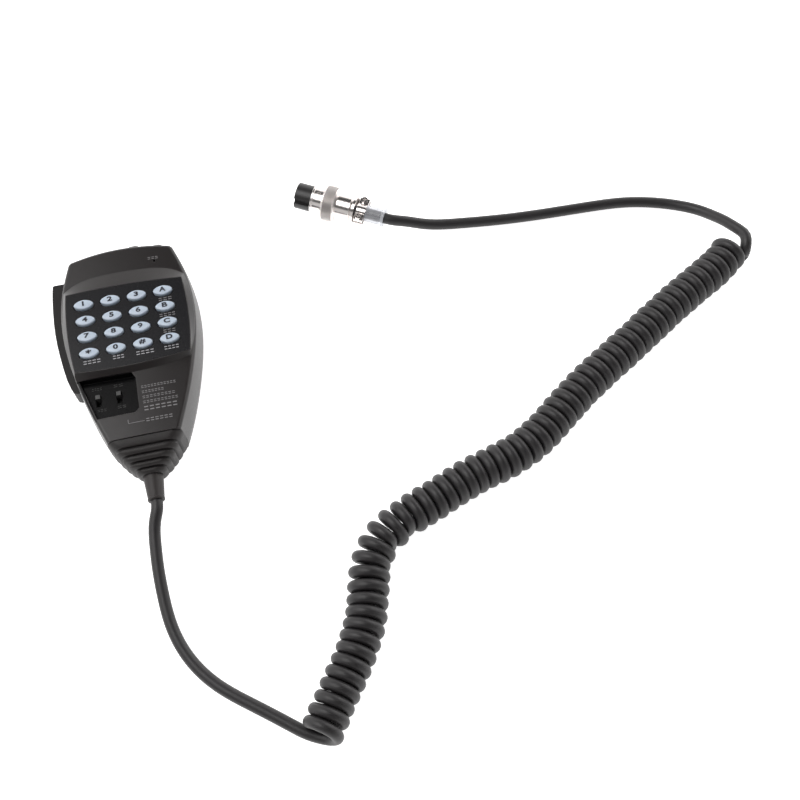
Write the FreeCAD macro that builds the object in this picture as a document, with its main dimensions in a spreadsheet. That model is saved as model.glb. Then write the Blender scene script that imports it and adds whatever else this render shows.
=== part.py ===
import FreeCAD, Part
import Sketcher
import math
import os

# Hand microphone with a sixteen-key pad, push-to-talk lever, coiled cord and
# an eight-way screw-ring plug.
#
# Frame, in millimetres: the origin is the middle of the hanger stud's head
# face, which is also the surface the microphone lies on. +Z points out of the
# keypad face, +Y towards the top edge with the two buttons, +X to the right
# when looking at the keys.

doc = FreeCAD.newDocument("HandMicrophone")

# ---------------------------------------------------------------- dimensions
# Alias, value, note.
DIMENSIONS = [
    # case
    ("back_z", 4.5, "back face of the case above the stud head"),
    ("parting_z", 13.5, "plane where the two shells meet"),
    ("crown_top_z", 28.6, "highest line of the crowned face"),
    ("crown_rad", 281.0, "radius of the face crown about Y"),
    ("wall", 2.0, "shell wall"),
    ("ceiling_z", 24.8, "inside ceiling of the front shell"),
    ("pad_ceiling_z", 26.4, "inside ceiling above the key flanges"),
    ("case_end_y", -57.0, "seam between case and end boot"),
    ("bulge", 1.3, "how far the side stands out at the parting plane"),
    ("face_round", 2.0, "rounding between face and side"),
    ("back_round", 2.5, "rounding between back and side"),
    ("island_z", 30.6, "top of the raised keypad surround"),
    ("island_foot_z", 26.8, "plane where the surround's slopes start"),
    ("panel_thick", 0.8, "keypad panel"),
    ("fit_gap", 0.05, "side gap of glued and trapped parts"),
    ("well_floor_z", 24.0, "floor of the switch well"),
    ("well_thick", 1.5, "floor thickness of the switch well"),
    ("boss_rad", 3.0, "screw boss"),
    ("screw_rad", 1.0, "case screw shank"),
    ("screw_head_rad", 2.1, "case screw head"),
    ("screw_head_len", 1.9, "case screw head height"),
    ("screw_seat_z", 8.2, "seat of the case screw heads"),
    ("screw_tip_z", 20.0, "tip of the case screws"),
    ("mic_hole_rad", 0.65, "sound hole"),
    ("mic_x", 15.7, "microphone capsule"),
    ("mic_y", 31.7, "microphone capsule"),
    # keys
    ("key_pitch_x", 12.29, "column pitch"),
    ("key_pitch_y", 8.56, "row pitch"),
    ("key_mid_x", -0.5, "middle of the key grid"),
    ("key_half_w", 4.65, "key half width"),
    ("key_half_h", 2.85, "key half height"),
    ("key_slack", 0.2, "gap between key and hole"),
    ("key_top_z", 32.0, "top of the key dome"),
    ("key_dome", 14.0, "key dome radius"),
    ("key_flange_w", 5.5, "key flange half width"),
    ("key_flange_h", 3.7, "key flange half height"),
    ("key_flange_z", 25.55, "underside of the key flange"),
    ("key_flange_t", 0.8, "key flange thickness"),
    ("key_stem_rad", 2.5, "key stem"),
    ("key_stem_z", 20.9, "lower end of the key stem"),
    # board
    ("board_z", 18.2, "underside of the board"),
    ("board_t", 1.6, "board thickness"),
    ("mat_t", 1.4, "keypad mat thickness"),
    # push-to-talk
    ("pivot_x", -22.0, "lever pivot"),
    ("pivot_y", -22.0, "lever pivot"),
    ("pivot_rad", 1.25, "pivot pin"),
    ("pivot_gap", 0.05, "running clearance on the pin"),
    ("lever_z", 7.6, "underside of the lever"),
    ("lever_t", 10.0, "lever thickness"),
    ("lever_gap", 0.4, "gap above and below the lever"),
    ("ptt_switch_y", -5.0, "push-to-talk switch"),
    ("ptt_switch_z", 14.2, "push-to-talk switch plunger"),
    ("spring_y", 20.0, "lever return spring"),
    ("spring_z", 12.6, "lever return spring"),
    # stud
    ("stud_head_rad", 7.5, "hanger stud head"),
    ("stud_head_t", 2.2, "hanger stud head thickness"),
    ("stud_neck_rad", 4.0, "hanger stud neck"),
    ("stud_shank_rad", 2.5, "hanger stud shank"),
    ("stud_tip_z", 10.6, "end of the stud shank"),
    ("nut_flat", 8.0, "stud nut across flats"),
    ("nut_t", 2.8, "stud nut thickness"),
    # boot and cord
    ("boot_end_y", -72.5, "end of the ribbed boot"),
    ("groove_deep", 1.5, "depth of the boot grooves"),
    ("relief_end_y", -84.0, "end of the strain relief"),
    ("relief_big_rad", 4.5, "strain relief at the boot"),
    ("relief_small_rad", 3.65, "strain relief at its end"),
    ("sleeve_rad", 3.2, "strain relief inside the boot"),
    ("cord_axis_z", 15.5, "cord height where it leaves the boot"),
    ("cord_rad", 2.45, "cord"),
    ("coil_rad", 6.85, "centre line radius of the coil"),
    ("coil_turns", 56.25, "turns of the coil"),
    ("coil_lean", 1.1, "how far each turn leans along the coil"),
    ("coil_pull", 2.4, "how far every other turn is drawn in where the coil bends"),
    # plug, along its own X axis from the insert's front face
    ("plug_x", 90.1, "middle of the insert's front face"),
    ("plug_y", 67.5, "middle of the insert's front face"),
    ("plug_z", 9.5, "plug axis above the surface"),
    ("plug_turn", -29.86, "direction of the plug axis"),
    ("insert_rad", 6.55, "plug insert"),
    ("insert_len", 8.5, "exposed length of the insert"),
    ("insert_tail_rad", 5.8, "insert inside the barrel"),
    ("insert_tail_x", 18.0, "end of the insert"),
    ("flange_rad", 7.8, "barrel flange"),
    ("flange_end_x", 9.7, "rear of the barrel flange"),
    ("barrel_rad", 7.25, "barrel under the ring"),
    ("barrel_end_x", 29.4, "rear end of the barrel"),
    ("rear_rad", 7.0, "barrel behind the ring"),
    ("ring_x", 14.5, "front of the coupling ring at rest"),
    ("ring_len", 7.0, "coupling ring length"),
    ("ring_rad", 9.5, "coupling ring"),
    ("ring_thread_rad", 8.0, "coupling ring bore"),
    ("ring_lip_rad", 7.32, "coupling ring rear lip bore"),
    ("clamp_end_x", 37.0, "rear end of the cable clamp"),
    ("clamp_rad", 7.1, "cable clamp"),
    ("clear_sleeve_rad", 4.15, "clear sleeve"),
    ("clear_sleeve_x", 46.4, "rear end of the clear sleeve"),
]

# Case side at the face edge: y, half width.
HALF_WIDTHS = [
    (-57.0, 15.84), (-48.0, 19.45), (-38.0, 22.78), (-28.0, 25.60),
    (-18.0, 27.91), (-8.0, 29.62), (2.0, 30.52), (12.0, 30.42),
    (22.0, 29.17), (30.0, 27.30), (36.0, 25.42),
]
# Axis of the coil seen from above: x, y, local pitch.
COIL_AXIS = [
    (52.2, -197.21, 5.73), (57.69, -188.83, 5.73), (63.47, -180.67, 5.73),
    (69.3, -172.53, 5.73), (74.6, -164.33, 5.73), (79.0, -155.64, 5.73),
    (82.2, -146.5, 5.73), (84.6, -137.3, 6.15), (88.3, -128.1, 6.35),
    (94.6, -120.3, 6.35), (103.0, -114.9, 6.2), (111.5, -111.2, 5.85),
    (120.3, -107.94, 5.73), (129.55, -104.29, 5.73), (138.92, -100.74, 5.73),
    (148.5, -98.05, 5.73), (158.14, -95.35, 5.73), (167.45, -91.64, 5.73),
    (176.08, -86.68, 5.73), (184.23, -80.86, 5.73), (192.19, -74.83, 5.73),
    (200.38, -69.01, 5.73), (208.75, -63.62, 5.73), (217.33, -58.46, 5.73),
    (225.92, -53.35, 5.73), (234.45, -48.14, 5.73), (242.93, -42.86, 5.73),
    (251.48, -37.59, 5.73), (260.08, -32.52, 5.73), (268.81, -27.66, 5.73),
    (277.59, -22.88, 5.78), (286.2, -17.8, 5.9), (295.97, -9.88, 6.25),
]
# Centre line of the cord from the strain relief to the coil: x, y, z.
MIC_RUN = [
    (-1.8, -91.7, 14.0), (-3.7, -102.4, 11.2), (-4.2, -113.7, 8.9),
    (-3.9, -125.0, 6.8), (-2.6, -137.0, 4.9), (0.6, -148.0, 3.35),
    (6.5, -158.8, 2.55), (15.0, -168.6, 2.47), (24.5, -176.6, 2.45),
    (33.8, -184.0, 2.45), (41.5, -190.3, 2.45), (46.2, -193.9, 2.45),
]
# Centre line of the cord from the coil's other end to the plug: x, y, z.
PLUG_RUN = [
    (300.9, -13.3, 12.9), (301.9, -10.3, 14.35), (302.35, -7.2, 14.5),
    (301.4, -3.8, 13.8), (299.5, -0.1, 12.8), (297.1, 4.9, 11.0),
    (293.5, 11.3, 8.0), (289.4, 16.9, 5.5), (284.5, 21.0, 4.0),
    (279.1, 24.3, 3.0), (267.2, 28.9, 2.5), (254.7, 31.7, 2.45),
    (236.7, 33.1, 2.45), (214.5, 33.8, 2.45), (192.5, 35.0, 2.45),
    (168.8, 37.3, 2.75), (150.0, 39.4, 5.2), (140.4, 41.3, 7.9),
]
# Tables that go into the sheet: alias of each column, rows, note.
STATION_TABLES = [
    (("side_y", "side_w"), HALF_WIDTHS, "case station along Y, half width"),
    (("axis_x", "axis_y", "axis_p"), COIL_AXIS, "coil axis station, pitch"),
    (("micrun_x", "micrun_y", "micrun_z"), MIC_RUN, "cord centre line"),
    (("plugrun_x", "plugrun_y", "plugrun_z"), PLUG_RUN, "cord centre line"),
]

sheet = doc.addObject("Spreadsheet::Sheet", "Params")
sheet_values = {}


def cell(alias, value, note):
    row = len(sheet_values) + 1
    sheet.set("A%d" % row, note)
    sheet.set("B%d" % row, "%.6g" % value)
    sheet.setAlias("B%d" % row, alias)
    sheet_values[alias] = float("%.6g" % value)


for alias, value, note in DIMENSIONS:
    cell(alias, value, note)
for prefixes, table, note in STATION_TABLES:
    for i, row_values in enumerate(table):
        for prefix, value in zip(prefixes, row_values):
            cell("%s_%02d" % (prefix, i), value, note)
doc.recompute()


# ------------------------------------------------------- sizes and bindings
class Size:
    """A size: its value, and the expression that gives it from the sheet."""

    def __init__(self, value, text):
        self.value, self.text = float(value), text

    def __add__(self, other):
        other = as_size(other)
        return Size(self.value + other.value, "(%s + %s)" % (self.text, other.text))

    def __sub__(self, other):
        other = as_size(other)
        return Size(self.value - other.value, "(%s - %s)" % (self.text, other.text))

    def __mul__(self, other):
        other = as_size(other)
        return Size(self.value * other.value, "(%s * %s)" % (self.text, other.text))

    def __truediv__(self, other):
        other = as_size(other)
        return Size(self.value / other.value, "(%s / %s)" % (self.text, other.text))

    def __rmul__(self, other):
        return self * other


def as_size(x):
    return x if isinstance(x, Size) else Size(x, "%.6g" % x)


class SheetSizes:
    """Gives each alias of the sheet as a Size."""

    def __getattr__(self, alias):
        return Size(sheet_values[alias], "Params." + alias)


dim = SheetSizes()


def val(alias):
    """A size read back from the sheet, for shapes made directly."""
    return float(sheet.get(alias))


def read_column(prefix, table):
    return [val("%s_%02d" % (prefix, i)) for i in range(len(table))]


def interpolate(at, stations, values):
    """Straight-line value at a place between rising stations."""
    i = 0
    while at > stations[i + 1]:
        i += 1
    part = (at - stations[i]) / (stations[i + 1] - stations[i])
    return values[i] + part * (values[i + 1] - values[i])


def bind(obj, prop, size):
    size = as_size(size)
    if "Params" in size.text:
        obj.setExpression(prop, size.text)
    setattr(obj, prop, size.value)


# Turns that lay the Z axis along another axis.
AXIS_TURN = {
    "z": FreeCAD.Rotation(),
    "y": FreeCAD.Rotation(FreeCAD.Vector(1, 0, 0), -90),
    "x": FreeCAD.Rotation(FreeCAD.Vector(0, 1, 0), 90),
    "-x": FreeCAD.Rotation(FreeCAD.Vector(0, 1, 0), -90),
}


def place(obj, at, turn=None):
    at = [as_size(a) for a in at]
    obj.Placement = FreeCAD.Placement(
        FreeCAD.Vector(*[a.value for a in at]), turn or FreeCAD.Rotation()
    )
    for axis, a in zip("xyz", at):
        if "Params" in a.text:
            obj.setExpression("Placement.Base." + axis, a.text)
    return obj


name_counts = {}


def auto(kind):
    """A numbered name for a helper object."""
    name_counts[kind] = name_counts.get(kind, 0) + 1
    return "%s_%03d" % (kind, name_counts[kind])


# ------------------------------------------------------------- basic solids
def cyl(rad, length, at, axis="z", name=None):
    obj = doc.addObject("Part::Cylinder", name or auto("cyl"))
    bind(obj, "Radius", rad)
    bind(obj, "Height", length)
    return place(obj, at, AXIS_TURN[axis])


def posts_at(points, rad, z0, z1):
    """Upright cylinders from z0 to z1, one at each (x, y)."""
    return [cyl(rad, as_size(z1) - z0, (x, y, z0)) for x, y in points]


def box(at, size, name=None, turn=None):
    obj = doc.addObject("Part::Box", name or auto("box"))
    for prop, side in zip(("Length", "Width", "Height"), size):
        bind(obj, prop, side)
    return place(obj, at, turn)


def ball(rad, at):
    obj = doc.addObject("Part::Sphere", auto("ball"))
    bind(obj, "Radius", rad)
    return place(obj, at)


def hexagon(flat, length, at):
    obj = doc.addObject("Part::Prism", auto("hex"))
    obj.Polygon = 6
    bind(obj, "Circumradius", flat / (2 * math.cos(math.pi / 6)))
    bind(obj, "Height", length)
    return place(obj, at)


def extrude(base, height):
    """A solid drawn up along Z from a closed outline."""
    obj = doc.addObject("Part::Extrusion", auto("prism"))
    obj.Base = base
    obj.DirMode = "Custom"
    obj.Dir = FreeCAD.Vector(0, 0, 1)
    obj.Solid = True
    bind(obj, "LengthFwd", height)
    return obj


def ellipse_prism(half_w, half_h, at, height):
    oval = doc.addObject("Part::Ellipse", auto("oval"))
    # Start small, so that the minor radius never exceeds the major one.
    oval.MinorRadius = 0.1
    bind(oval, "MajorRadius", half_w)
    bind(oval, "MinorRadius", half_h)
    place(oval, at)
    return extrude(oval, height)


def cross_slot(x, y, z, length, width, deep):
    """Two crossed boxes that cut the slots of a screw head."""
    return [
        box((x - size_x / 2, y - size_y / 2, z), (size_x, size_y, deep))
        for size_x, size_y in ((length, width), (width, length))
    ]


def fuse(parts, name=None):
    obj = doc.addObject("Part::MultiFuse", name or auto("fuse"))
    obj.Shapes = list(parts)
    return obj


def group(parts, name=None):
    obj = doc.addObject("Part::Compound", name or auto("group"))
    obj.Links = list(parts)
    return obj


def cut(base, tools, name=None):
    obj = doc.addObject("Part::Cut", name or auto("cut"))
    obj.Base = base
    obj.Tool = tools[0] if len(tools) == 1 else group(tools)
    return obj


def meet(first, second, name=None):
    obj = doc.addObject("Part::MultiCommon", name or auto("meet"))
    obj.Shapes = [first, second]
    return obj


def loft(sections, ruled=False):
    obj = doc.addObject("Part::Loft", auto("loft"))
    obj.Sections = list(sections)
    obj.Solid = True
    obj.Ruled = ruled
    return obj


def rounded(base, radius, wanted):
    """Round the edges of a recomputed base for which wanted(edge) holds."""
    obj = doc.addObject("Part::Fillet", auto("round"))
    obj.Base = base
    obj.Edges = [
        (i, radius, radius)
        for i, edge in enumerate(base.Shape.Edges, 1)
        if wanted(edge)
    ]
    return obj


# ---------------------------------------------------------- sketched pieces
def polygon_sketch(sketch, points):
    """A closed polygon whose corners are held by sizes from the sheet."""
    corners = [(as_size(x), as_size(y)) for x, y in points]
    count = len(corners)
    ends = [FreeCAD.Vector(x.value, y.value, 0) for x, y in corners]
    for i in range(count):
        sketch.addGeometry(Part.LineSegment(ends[i], ends[(i + 1) % count]), False)
    for i in range(count):
        sketch.addConstraint(
            Sketcher.Constraint("Coincident", i, 2, (i + 1) % count, 1)
        )
    for i, (x, y) in enumerate(corners):
        for size, kind, axis_line in ((x, "DistanceX", -2), (y, "DistanceY", -1)):
            if abs(size.value) < 1e-9:
                sketch.addConstraint(
                    Sketcher.Constraint("PointOnObject", i, 1, axis_line)
                )
                continue
            index = sketch.addConstraint(
                Sketcher.Constraint(kind, -1, 1, i, 1, size.value)
            )
            if "Params" in size.text:
                sketch.setExpression("Constraints[%d]" % index, size.text)


def body_with_sketch(points, kind, name):
    """A body and, on its XY plane, a polygon sketch."""
    body = doc.addObject("PartDesign::Body", name or auto("body"))
    sketch = body.newObject("Sketcher::SketchObject", auto(kind))
    plane = next(f for f in body.Origin.OriginFeatures if f.Role == "XY_Plane")
    sketch.AttachmentSupport = [(plane, "")]
    sketch.MapMode = "FlatFace"
    polygon_sketch(sketch, points)
    return body, sketch


def pad_body(points, z0, height):
    """A flat piece: a polygon on the XY plane, padded up from z0."""
    body, sketch = body_with_sketch(points, "outline", None)
    sketch.setExpression("AttachmentOffset.Base.z", z0.text)
    pad = body.newObject("PartDesign::Pad", auto("pad"))
    pad.Profile = sketch
    bind(pad, "Length", height)
    return body


def turned_body(profile, name=None):
    """A turned piece: a profile of (x, radius) spun about the X axis."""
    body, sketch = body_with_sketch(profile, "profile", name)
    turning = body.newObject("PartDesign::Revolution", auto("turn"))
    turning.Profile = sketch
    turning.ReferenceAxis = (sketch, ["H_Axis"])
    turning.Angle = 360
    return body


def section_sketch(z0):
    return place(doc.addObject("Sketcher::SketchObject", auto("section")), (0, 0, z0))


# ------------------------------------------------- shapes made directly
def feature(name, shape):
    obj = doc.addObject("Part::Feature", name)
    obj.Shape = shape
    obj.Placement = FreeCAD.Placement()
    return obj


def round_sweep(edges, rad):
    """A round cord of the given radius along a chain of edges."""
    first = edges[0]
    start = first.valueAt(first.FirstParameter)
    along = first.tangentAt(first.FirstParameter)
    ring = Part.Wire([Part.Circle(start, along, rad).toShape()])
    return Part.Wire(edges).makePipeShell([ring], True, True)


# ------------------------------------------------------------- case outline
# Right half of the top edge, from the corner to the middle: x, y.
TOP_EDGE = [
    (24.95, 37.45), (24.66, 38.35), (24.0, 39.2), (23.15, 39.68),
    (22.0, 39.95), (18.0, 40.7), (12.0, 41.55), (6.0, 42.05), (0.0, 42.2),
]
side_y = read_column("side_y", HALF_WIDTHS)
side_w = read_column("side_w", HALF_WIDTHS)
bulge = val("bulge")
wall = val("wall")
case_end_y = val("case_end_y")
end_wall_y = case_end_y + wall


def half_width(y):
    return interpolate(y, side_y, side_w)


def outline_points(grow, y_end):
    """The case outline seen from the front, moved outwards by grow.

    The two end points always step outwards, whatever the sign of grow.
    """
    right = [(half_width(y_end), y_end)]
    right += [(x, y) for x, y in zip(side_w[1:], side_y[1:]) if y > y_end + 2]
    right += TOP_EDGE
    points = right + [(-x, y) for x, y in reversed(right[:-1])]
    moved = []
    for i, (x, y) in enumerate(points):
        if i in (0, len(points) - 1):
            moved.append((x + math.copysign(grow, x), y))
            continue
        before, after = points[i - 1], points[i + 1]
        along_x, along_y = after[0] - before[0], after[1] - before[1]
        length = math.hypot(along_x, along_y)
        moved.append((x + grow * (along_y / length), y + grow * (-along_x / length)))
    return moved


def outline_sketch(z0, grow, y_end=case_end_y):
    """One section of the case: a smooth curve closed by a straight end."""
    points = [FreeCAD.Vector(x, y, 0) for x, y in outline_points(grow, y_end)]
    curve = Part.BSplineCurve()
    curve.interpolate(points)
    sketch = section_sketch(z0)
    sketch.addGeometry(curve, False)
    sketch.addGeometry(Part.LineSegment(points[-1], points[0]), False)
    return sketch


# --------------------------------------------------------- places in the case
BOSSES = [(-16.0, 33.5), (22.6, 28.6), (-10.0, -50.5), (10.0, -50.5)]
BOARD_POSTS = [(-20.5, 22.5), (20.0, 22.0), (20.5, -22.0), (12.0, -41.0)]
PIVOT = [(dim.pivot_x, dim.pivot_y)]
PIVOT_POST_RAD = 2.6
board_top = dim.board_z + dim.board_t
seam_overlap = 0.01  # the cavities reach this far past the parting plane

# Key names, rows from the top edge down.
KEY_ROWS = (("1", "2", "3", "a"), ("4", "5", "6", "b"),
            ("7", "8", "9", "c"), ("star", "0", "hash", "d"))
keys = [
    (
        "key_" + label,
        dim.key_mid_x + (i - 1.5) * dim.key_pitch_x,
        (1.5 - j) * dim.key_pitch_y,
    )
    for j, row in enumerate(KEY_ROWS)
    for i, label in enumerate(row)
]

# Slide switches: knob name, x.
SLIDE_SWITCHES = [("lock_switch_knob", -18.4), ("mode_switch_knob", -9.0)]
SLIDE_Y = -33.0
slide_slot_y = SLIDE_Y - 4.2
slide_slot_len = 5.4

# Top buttons: side, x, y of the flange's inner face, y of the tip.
BUTTONS = [("up", 6.0, 39.5, 45.0), ("down", 17.0, 38.5, 43.9)]
BUTTON_Z = 22.0

# Cuts that both shells share.
lever_slot = box(
    (-45.0, -26.2, dim.lever_z - dim.lever_gap),
    (22.5, 61.9, dim.lever_t + 2 * dim.lever_gap),
)
boot_neck_rad = 5.0
neck_hole = cyl(
    boot_neck_rad + 0.03, 6.0, (0, dim.case_end_y - 2.0, dim.cord_axis_z), "y"
)


def corner_fill(z0, height, within):
    """Solid corners at the narrow end, where the hollow would thin the wall."""
    return [
        meet(box((x, dim.case_end_y + 0.5, z0), (5.0, 4.2, height)), within)
        for x in (-18.5, 13.5)
    ]


# ------------------------------------------------------------ keypad surround
# Corners counter-clockwise from the lower left, and the bow of each side.
PANEL = [(-26.0, -21.2), (26.1, -20.3), (27.1, 18.4), (-26.5, 19.6)]
PANEL_BOWS = [1.5, 1.35, 1.2, 1.3]
FOOT = [(-27.6, -24.9), (25.6, -22.3), (28.6, 22.6), (-28.4, 23.6)]
FOOT_BOWS = [4.6, 3.4, 13.0, 2.4]
panel_floor_z = dim.island_z - dim.panel_thick


def four_arcs(z0, corners, bows):
    """A four-sided outline with bowed sides, corners given counter-clockwise."""
    sketch = section_sketch(z0)
    ends = [FreeCAD.Vector(x, y, 0) for x, y in corners]
    for i, bow in enumerate(bows):
        start, end = ends[i], ends[(i + 1) % len(ends)]
        along = end - start
        along.normalize()
        middle = (start + end) * 0.5 + FreeCAD.Vector(along.y, -along.x, 0) * bow
        sketch.addGeometry(Part.Arc(start, middle, end), False)
    return sketch


def panel_outline(z0, spread):
    """The panel's outline with its corners moved out by spread."""
    mid_x = sum(x for x, _ in PANEL) / 4.0
    mid_y = sum(y for _, y in PANEL) / 4.0
    corners = [
        (x + math.copysign(spread, x - mid_x), y + math.copysign(spread, y - mid_y))
        for x, y in PANEL
    ]
    return four_arcs(z0, corners, PANEL_BOWS)


# ---------------------------------------------------------------- front case
front_block = loft([
    outline_sketch(dim.parting_z, bulge),
    outline_sketch(dim.parting_z + 6.5, 0.75 * bulge),
    outline_sketch(dim.parting_z + 17.5, -0.45),
])
crown = cyl(dim.crown_rad, 140, (0, -80, dim.crown_top_z - dim.crown_rad), "y")
front_plain = meet(front_block, crown)
doc.recompute()
front_round = rounded(
    front_plain,
    val("face_round"),
    lambda edge: edge.BoundBox.ZMin > 26.0 and edge.BoundBox.YMax > 0,
)

# The surround slopes from the crowned face up to a flat top.
surround = loft(
    [
        four_arcs(dim.island_foot_z, FOOT, FOOT_BOWS),
        panel_outline(dim.island_z, 0.3),
    ],
    ruled=True,
)
surround_in_case = meet(surround, front_block)
panel_recess = extrude(panel_outline(panel_floor_z, val("fit_gap")), 3.0)

# Inside of the front shell, with the switch well left standing.
WELL = [
    (-19.3, -45.2), (-2.2, -45.4), (-0.2, -43.7),
    (0.0, -28.2), (-1.6, -25.2), (-25.4, -24.6),
]
WELL_OUTSIDE = [
    (-20.9, -46.6), (-1.6, -46.8), (1.2, -44.3),
    (1.4, -27.6), (-0.8, -23.9), (-27.5, -23.3),
]
front_cavity = loft(
    [
        outline_sketch(dim.parting_z - seam_overlap, bulge - wall, end_wall_y),
        outline_sketch(dim.ceiling_z, 0.45 - wall, end_wall_y),
    ],
    ruled=True,
)
well_under_z = dim.well_floor_z - dim.well_thick
well_tub = pad_body(WELL_OUTSIDE, well_under_z, 6.0)
well_hollow = pad_body(WELL, dim.well_floor_z, 8.0)
front_hollow = cut(front_cavity, [well_tub])

# Raised ceiling over the key flanges.
pad_gap = 0.4
pad_overlap = 0.5
pad_hollow = box(
    (
        dim.key_mid_x - 1.5 * dim.key_pitch_x - dim.key_flange_w - pad_gap,
        -1.5 * dim.key_pitch_y - dim.key_flange_h - pad_gap,
        dim.ceiling_z - pad_overlap,
    ),
    (
        3 * dim.key_pitch_x + 2 * dim.key_flange_w + 2 * pad_gap,
        3 * dim.key_pitch_y + 2 * dim.key_flange_h + 2 * pad_gap,
        dim.pad_ceiling_z - dim.ceiling_z + pad_overlap,
    ),
)

post_top = dim.ceiling_z + 0.4
front_posts = (
    posts_at(BOSSES, dim.boss_rad, dim.parting_z, post_top)
    + posts_at(BOARD_POSTS, 2.2, board_top, post_top)
    + posts_at(PIVOT, PIVOT_POST_RAD, board_top + 0.1, post_top)
)
key_holes = [
    ellipse_prism(
        dim.key_half_w + dim.key_slack, dim.key_half_h + dim.key_slack,
        (x, y, dim.pad_ceiling_z - 0.5), 6.0,
    )
    for _, x, y in keys
]
knob_slots = [
    box((x - 1.2, slide_slot_y, well_under_z - 0.5), (2.4, slide_slot_len, 3.0))
    for _, x in SLIDE_SWITCHES
]
button_holes = [
    box((x - 3.15, y + 0.3, BUTTON_Z - 2.15), (6.3, 8.0, 4.3))
    for _, x, y, _ in BUTTONS
]
# Room for the button flanges behind the top wall.
button_rooms = [
    box((x - 4.0, y - 1.0, BUTTON_Z - 2.75), (8.0, 1.75, 5.5))
    for _, x, y, _ in BUTTONS
]

front_shell = fuse([front_round, surround_in_case])
front_open = cut(front_shell, [front_hollow, pad_hollow])
front_full = fuse(
    [front_open] + front_posts + corner_fill(dim.parting_z, 20.0, front_round)
)
cut(
    front_full,
    [panel_recess, well_hollow, lever_slot, neck_hole,
     cyl(dim.mic_hole_rad, 12.0, (dim.mic_x, dim.mic_y, 20.0))]
    + key_holes + knob_slots + button_holes + button_rooms
    + posts_at(BOSSES, dim.screw_rad + 0.02, 10.0, dim.screw_tip_z + 1.0)
    + posts_at(BOARD_POSTS, 0.82, 15.0, 23.8)
    + posts_at(PIVOT, dim.pivot_rad + 0.02, 15.0, 21.8),
    "front_case",
)

# ----------------------------------------------------------------- rear case
rear_block = loft([
    outline_sketch(dim.back_z, 0.0),
    outline_sketch(dim.back_z + 4.5, 0.8 * bulge),
    outline_sketch(dim.parting_z, bulge),
])
doc.recompute()
rear_round = rounded(
    rear_block,
    val("back_round"),
    lambda edge: edge.BoundBox.ZMax < val("back_z") + 0.1 and edge.BoundBox.YMax > 0,
)
rear_cavity = loft(
    [
        outline_sketch(dim.back_z + dim.wall, -1.2, end_wall_y),
        outline_sketch(dim.parting_z + seam_overlap, bulge - wall, end_wall_y),
    ],
    ruled=True,
)
rear_open = cut(rear_round, [rear_cavity])
spring_wall_x = -20.0
post_foot = dim.back_z + 1.0  # posts start inside the back wall
rear_full = fuse(
    [rear_open]
    + corner_fill(dim.back_z + 0.5, dim.parting_z - dim.back_z - 0.5, rear_round)
    + posts_at(BOSSES, dim.boss_rad, post_foot, dim.parting_z)
    + posts_at(PIVOT, PIVOT_POST_RAD, post_foot, dim.lever_z - 0.1)
    + [box((spring_wall_x, dim.spring_y - 3.5, post_foot), (1.5, 7.0, 10.0))]
)
below_back = dim.back_z - 1.0
cut(
    rear_full,
    [lever_slot, neck_hole,
     cyl(dim.stud_shank_rad + 0.03, 6.0, (0, 0, dim.back_z - 2.0))]
    + posts_at(BOSSES, dim.screw_head_rad + 0.2, below_back, dim.screw_seat_z)
    + posts_at(BOSSES, dim.screw_rad + 0.1, below_back, dim.parting_z + 1.0)
    + posts_at(PIVOT, dim.pivot_rad + 0.02, post_foot, dim.lever_z + 1.0),
    "rear_case",
)

# ------------------------------------------------------ keypad panel and keys
cut(extrude(panel_outline(panel_floor_z, 0.0), dim.panel_thick), key_holes, "key_panel")


def make_key(name, x, y):
    """An oval cap on a flange and a round stem, domed by a ball."""
    cap = ellipse_prism(
        dim.key_half_w, dim.key_half_h,
        (x, y, dim.key_flange_z + dim.key_flange_t - 0.1),
        dim.key_top_z - dim.key_flange_z,
    )
    flange = ellipse_prism(
        dim.key_flange_w, dim.key_flange_h, (x, y, dim.key_flange_z), dim.key_flange_t
    )
    stem = cyl(
        dim.key_stem_rad, dim.key_flange_z - dim.key_stem_z + 0.2,
        (x, y, dim.key_stem_z),
    )
    dome = ball(dim.key_dome, (x, y, dim.key_top_z - dim.key_dome))
    meet(fuse([cap, flange, stem]), dome, name)


for name, x, y in keys:
    make_key(name, x, y)

# Rubber mat on the board, with a hole round each stem and each lamp. The
# lamps stand between the outer and inner key columns and rows.
lamps = [
    (dim.key_mid_x + side * dim.key_pitch_x, level * dim.key_pitch_y)
    for side in (-1, 1)
    for level in (-1, 1)
]
cut(
    box((-24.9, -16.9, board_top), (48.8, 33.8, dim.mat_t)),
    [cyl(dim.key_stem_rad + 0.25, 4.0, (x, y, board_top - 1.0)) for _, x, y in keys]
    + [box((x - 1.9, y - 1.1, board_top - 1.0), (3.8, 2.2, 4.0)) for x, y in lamps],
    "keypad_mat",
)
group(
    [box((x - 1.6, y - 0.8, board_top), (3.2, 1.6, 1.1)) for x, y in lamps],
    "backlight_leds",
)

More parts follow.
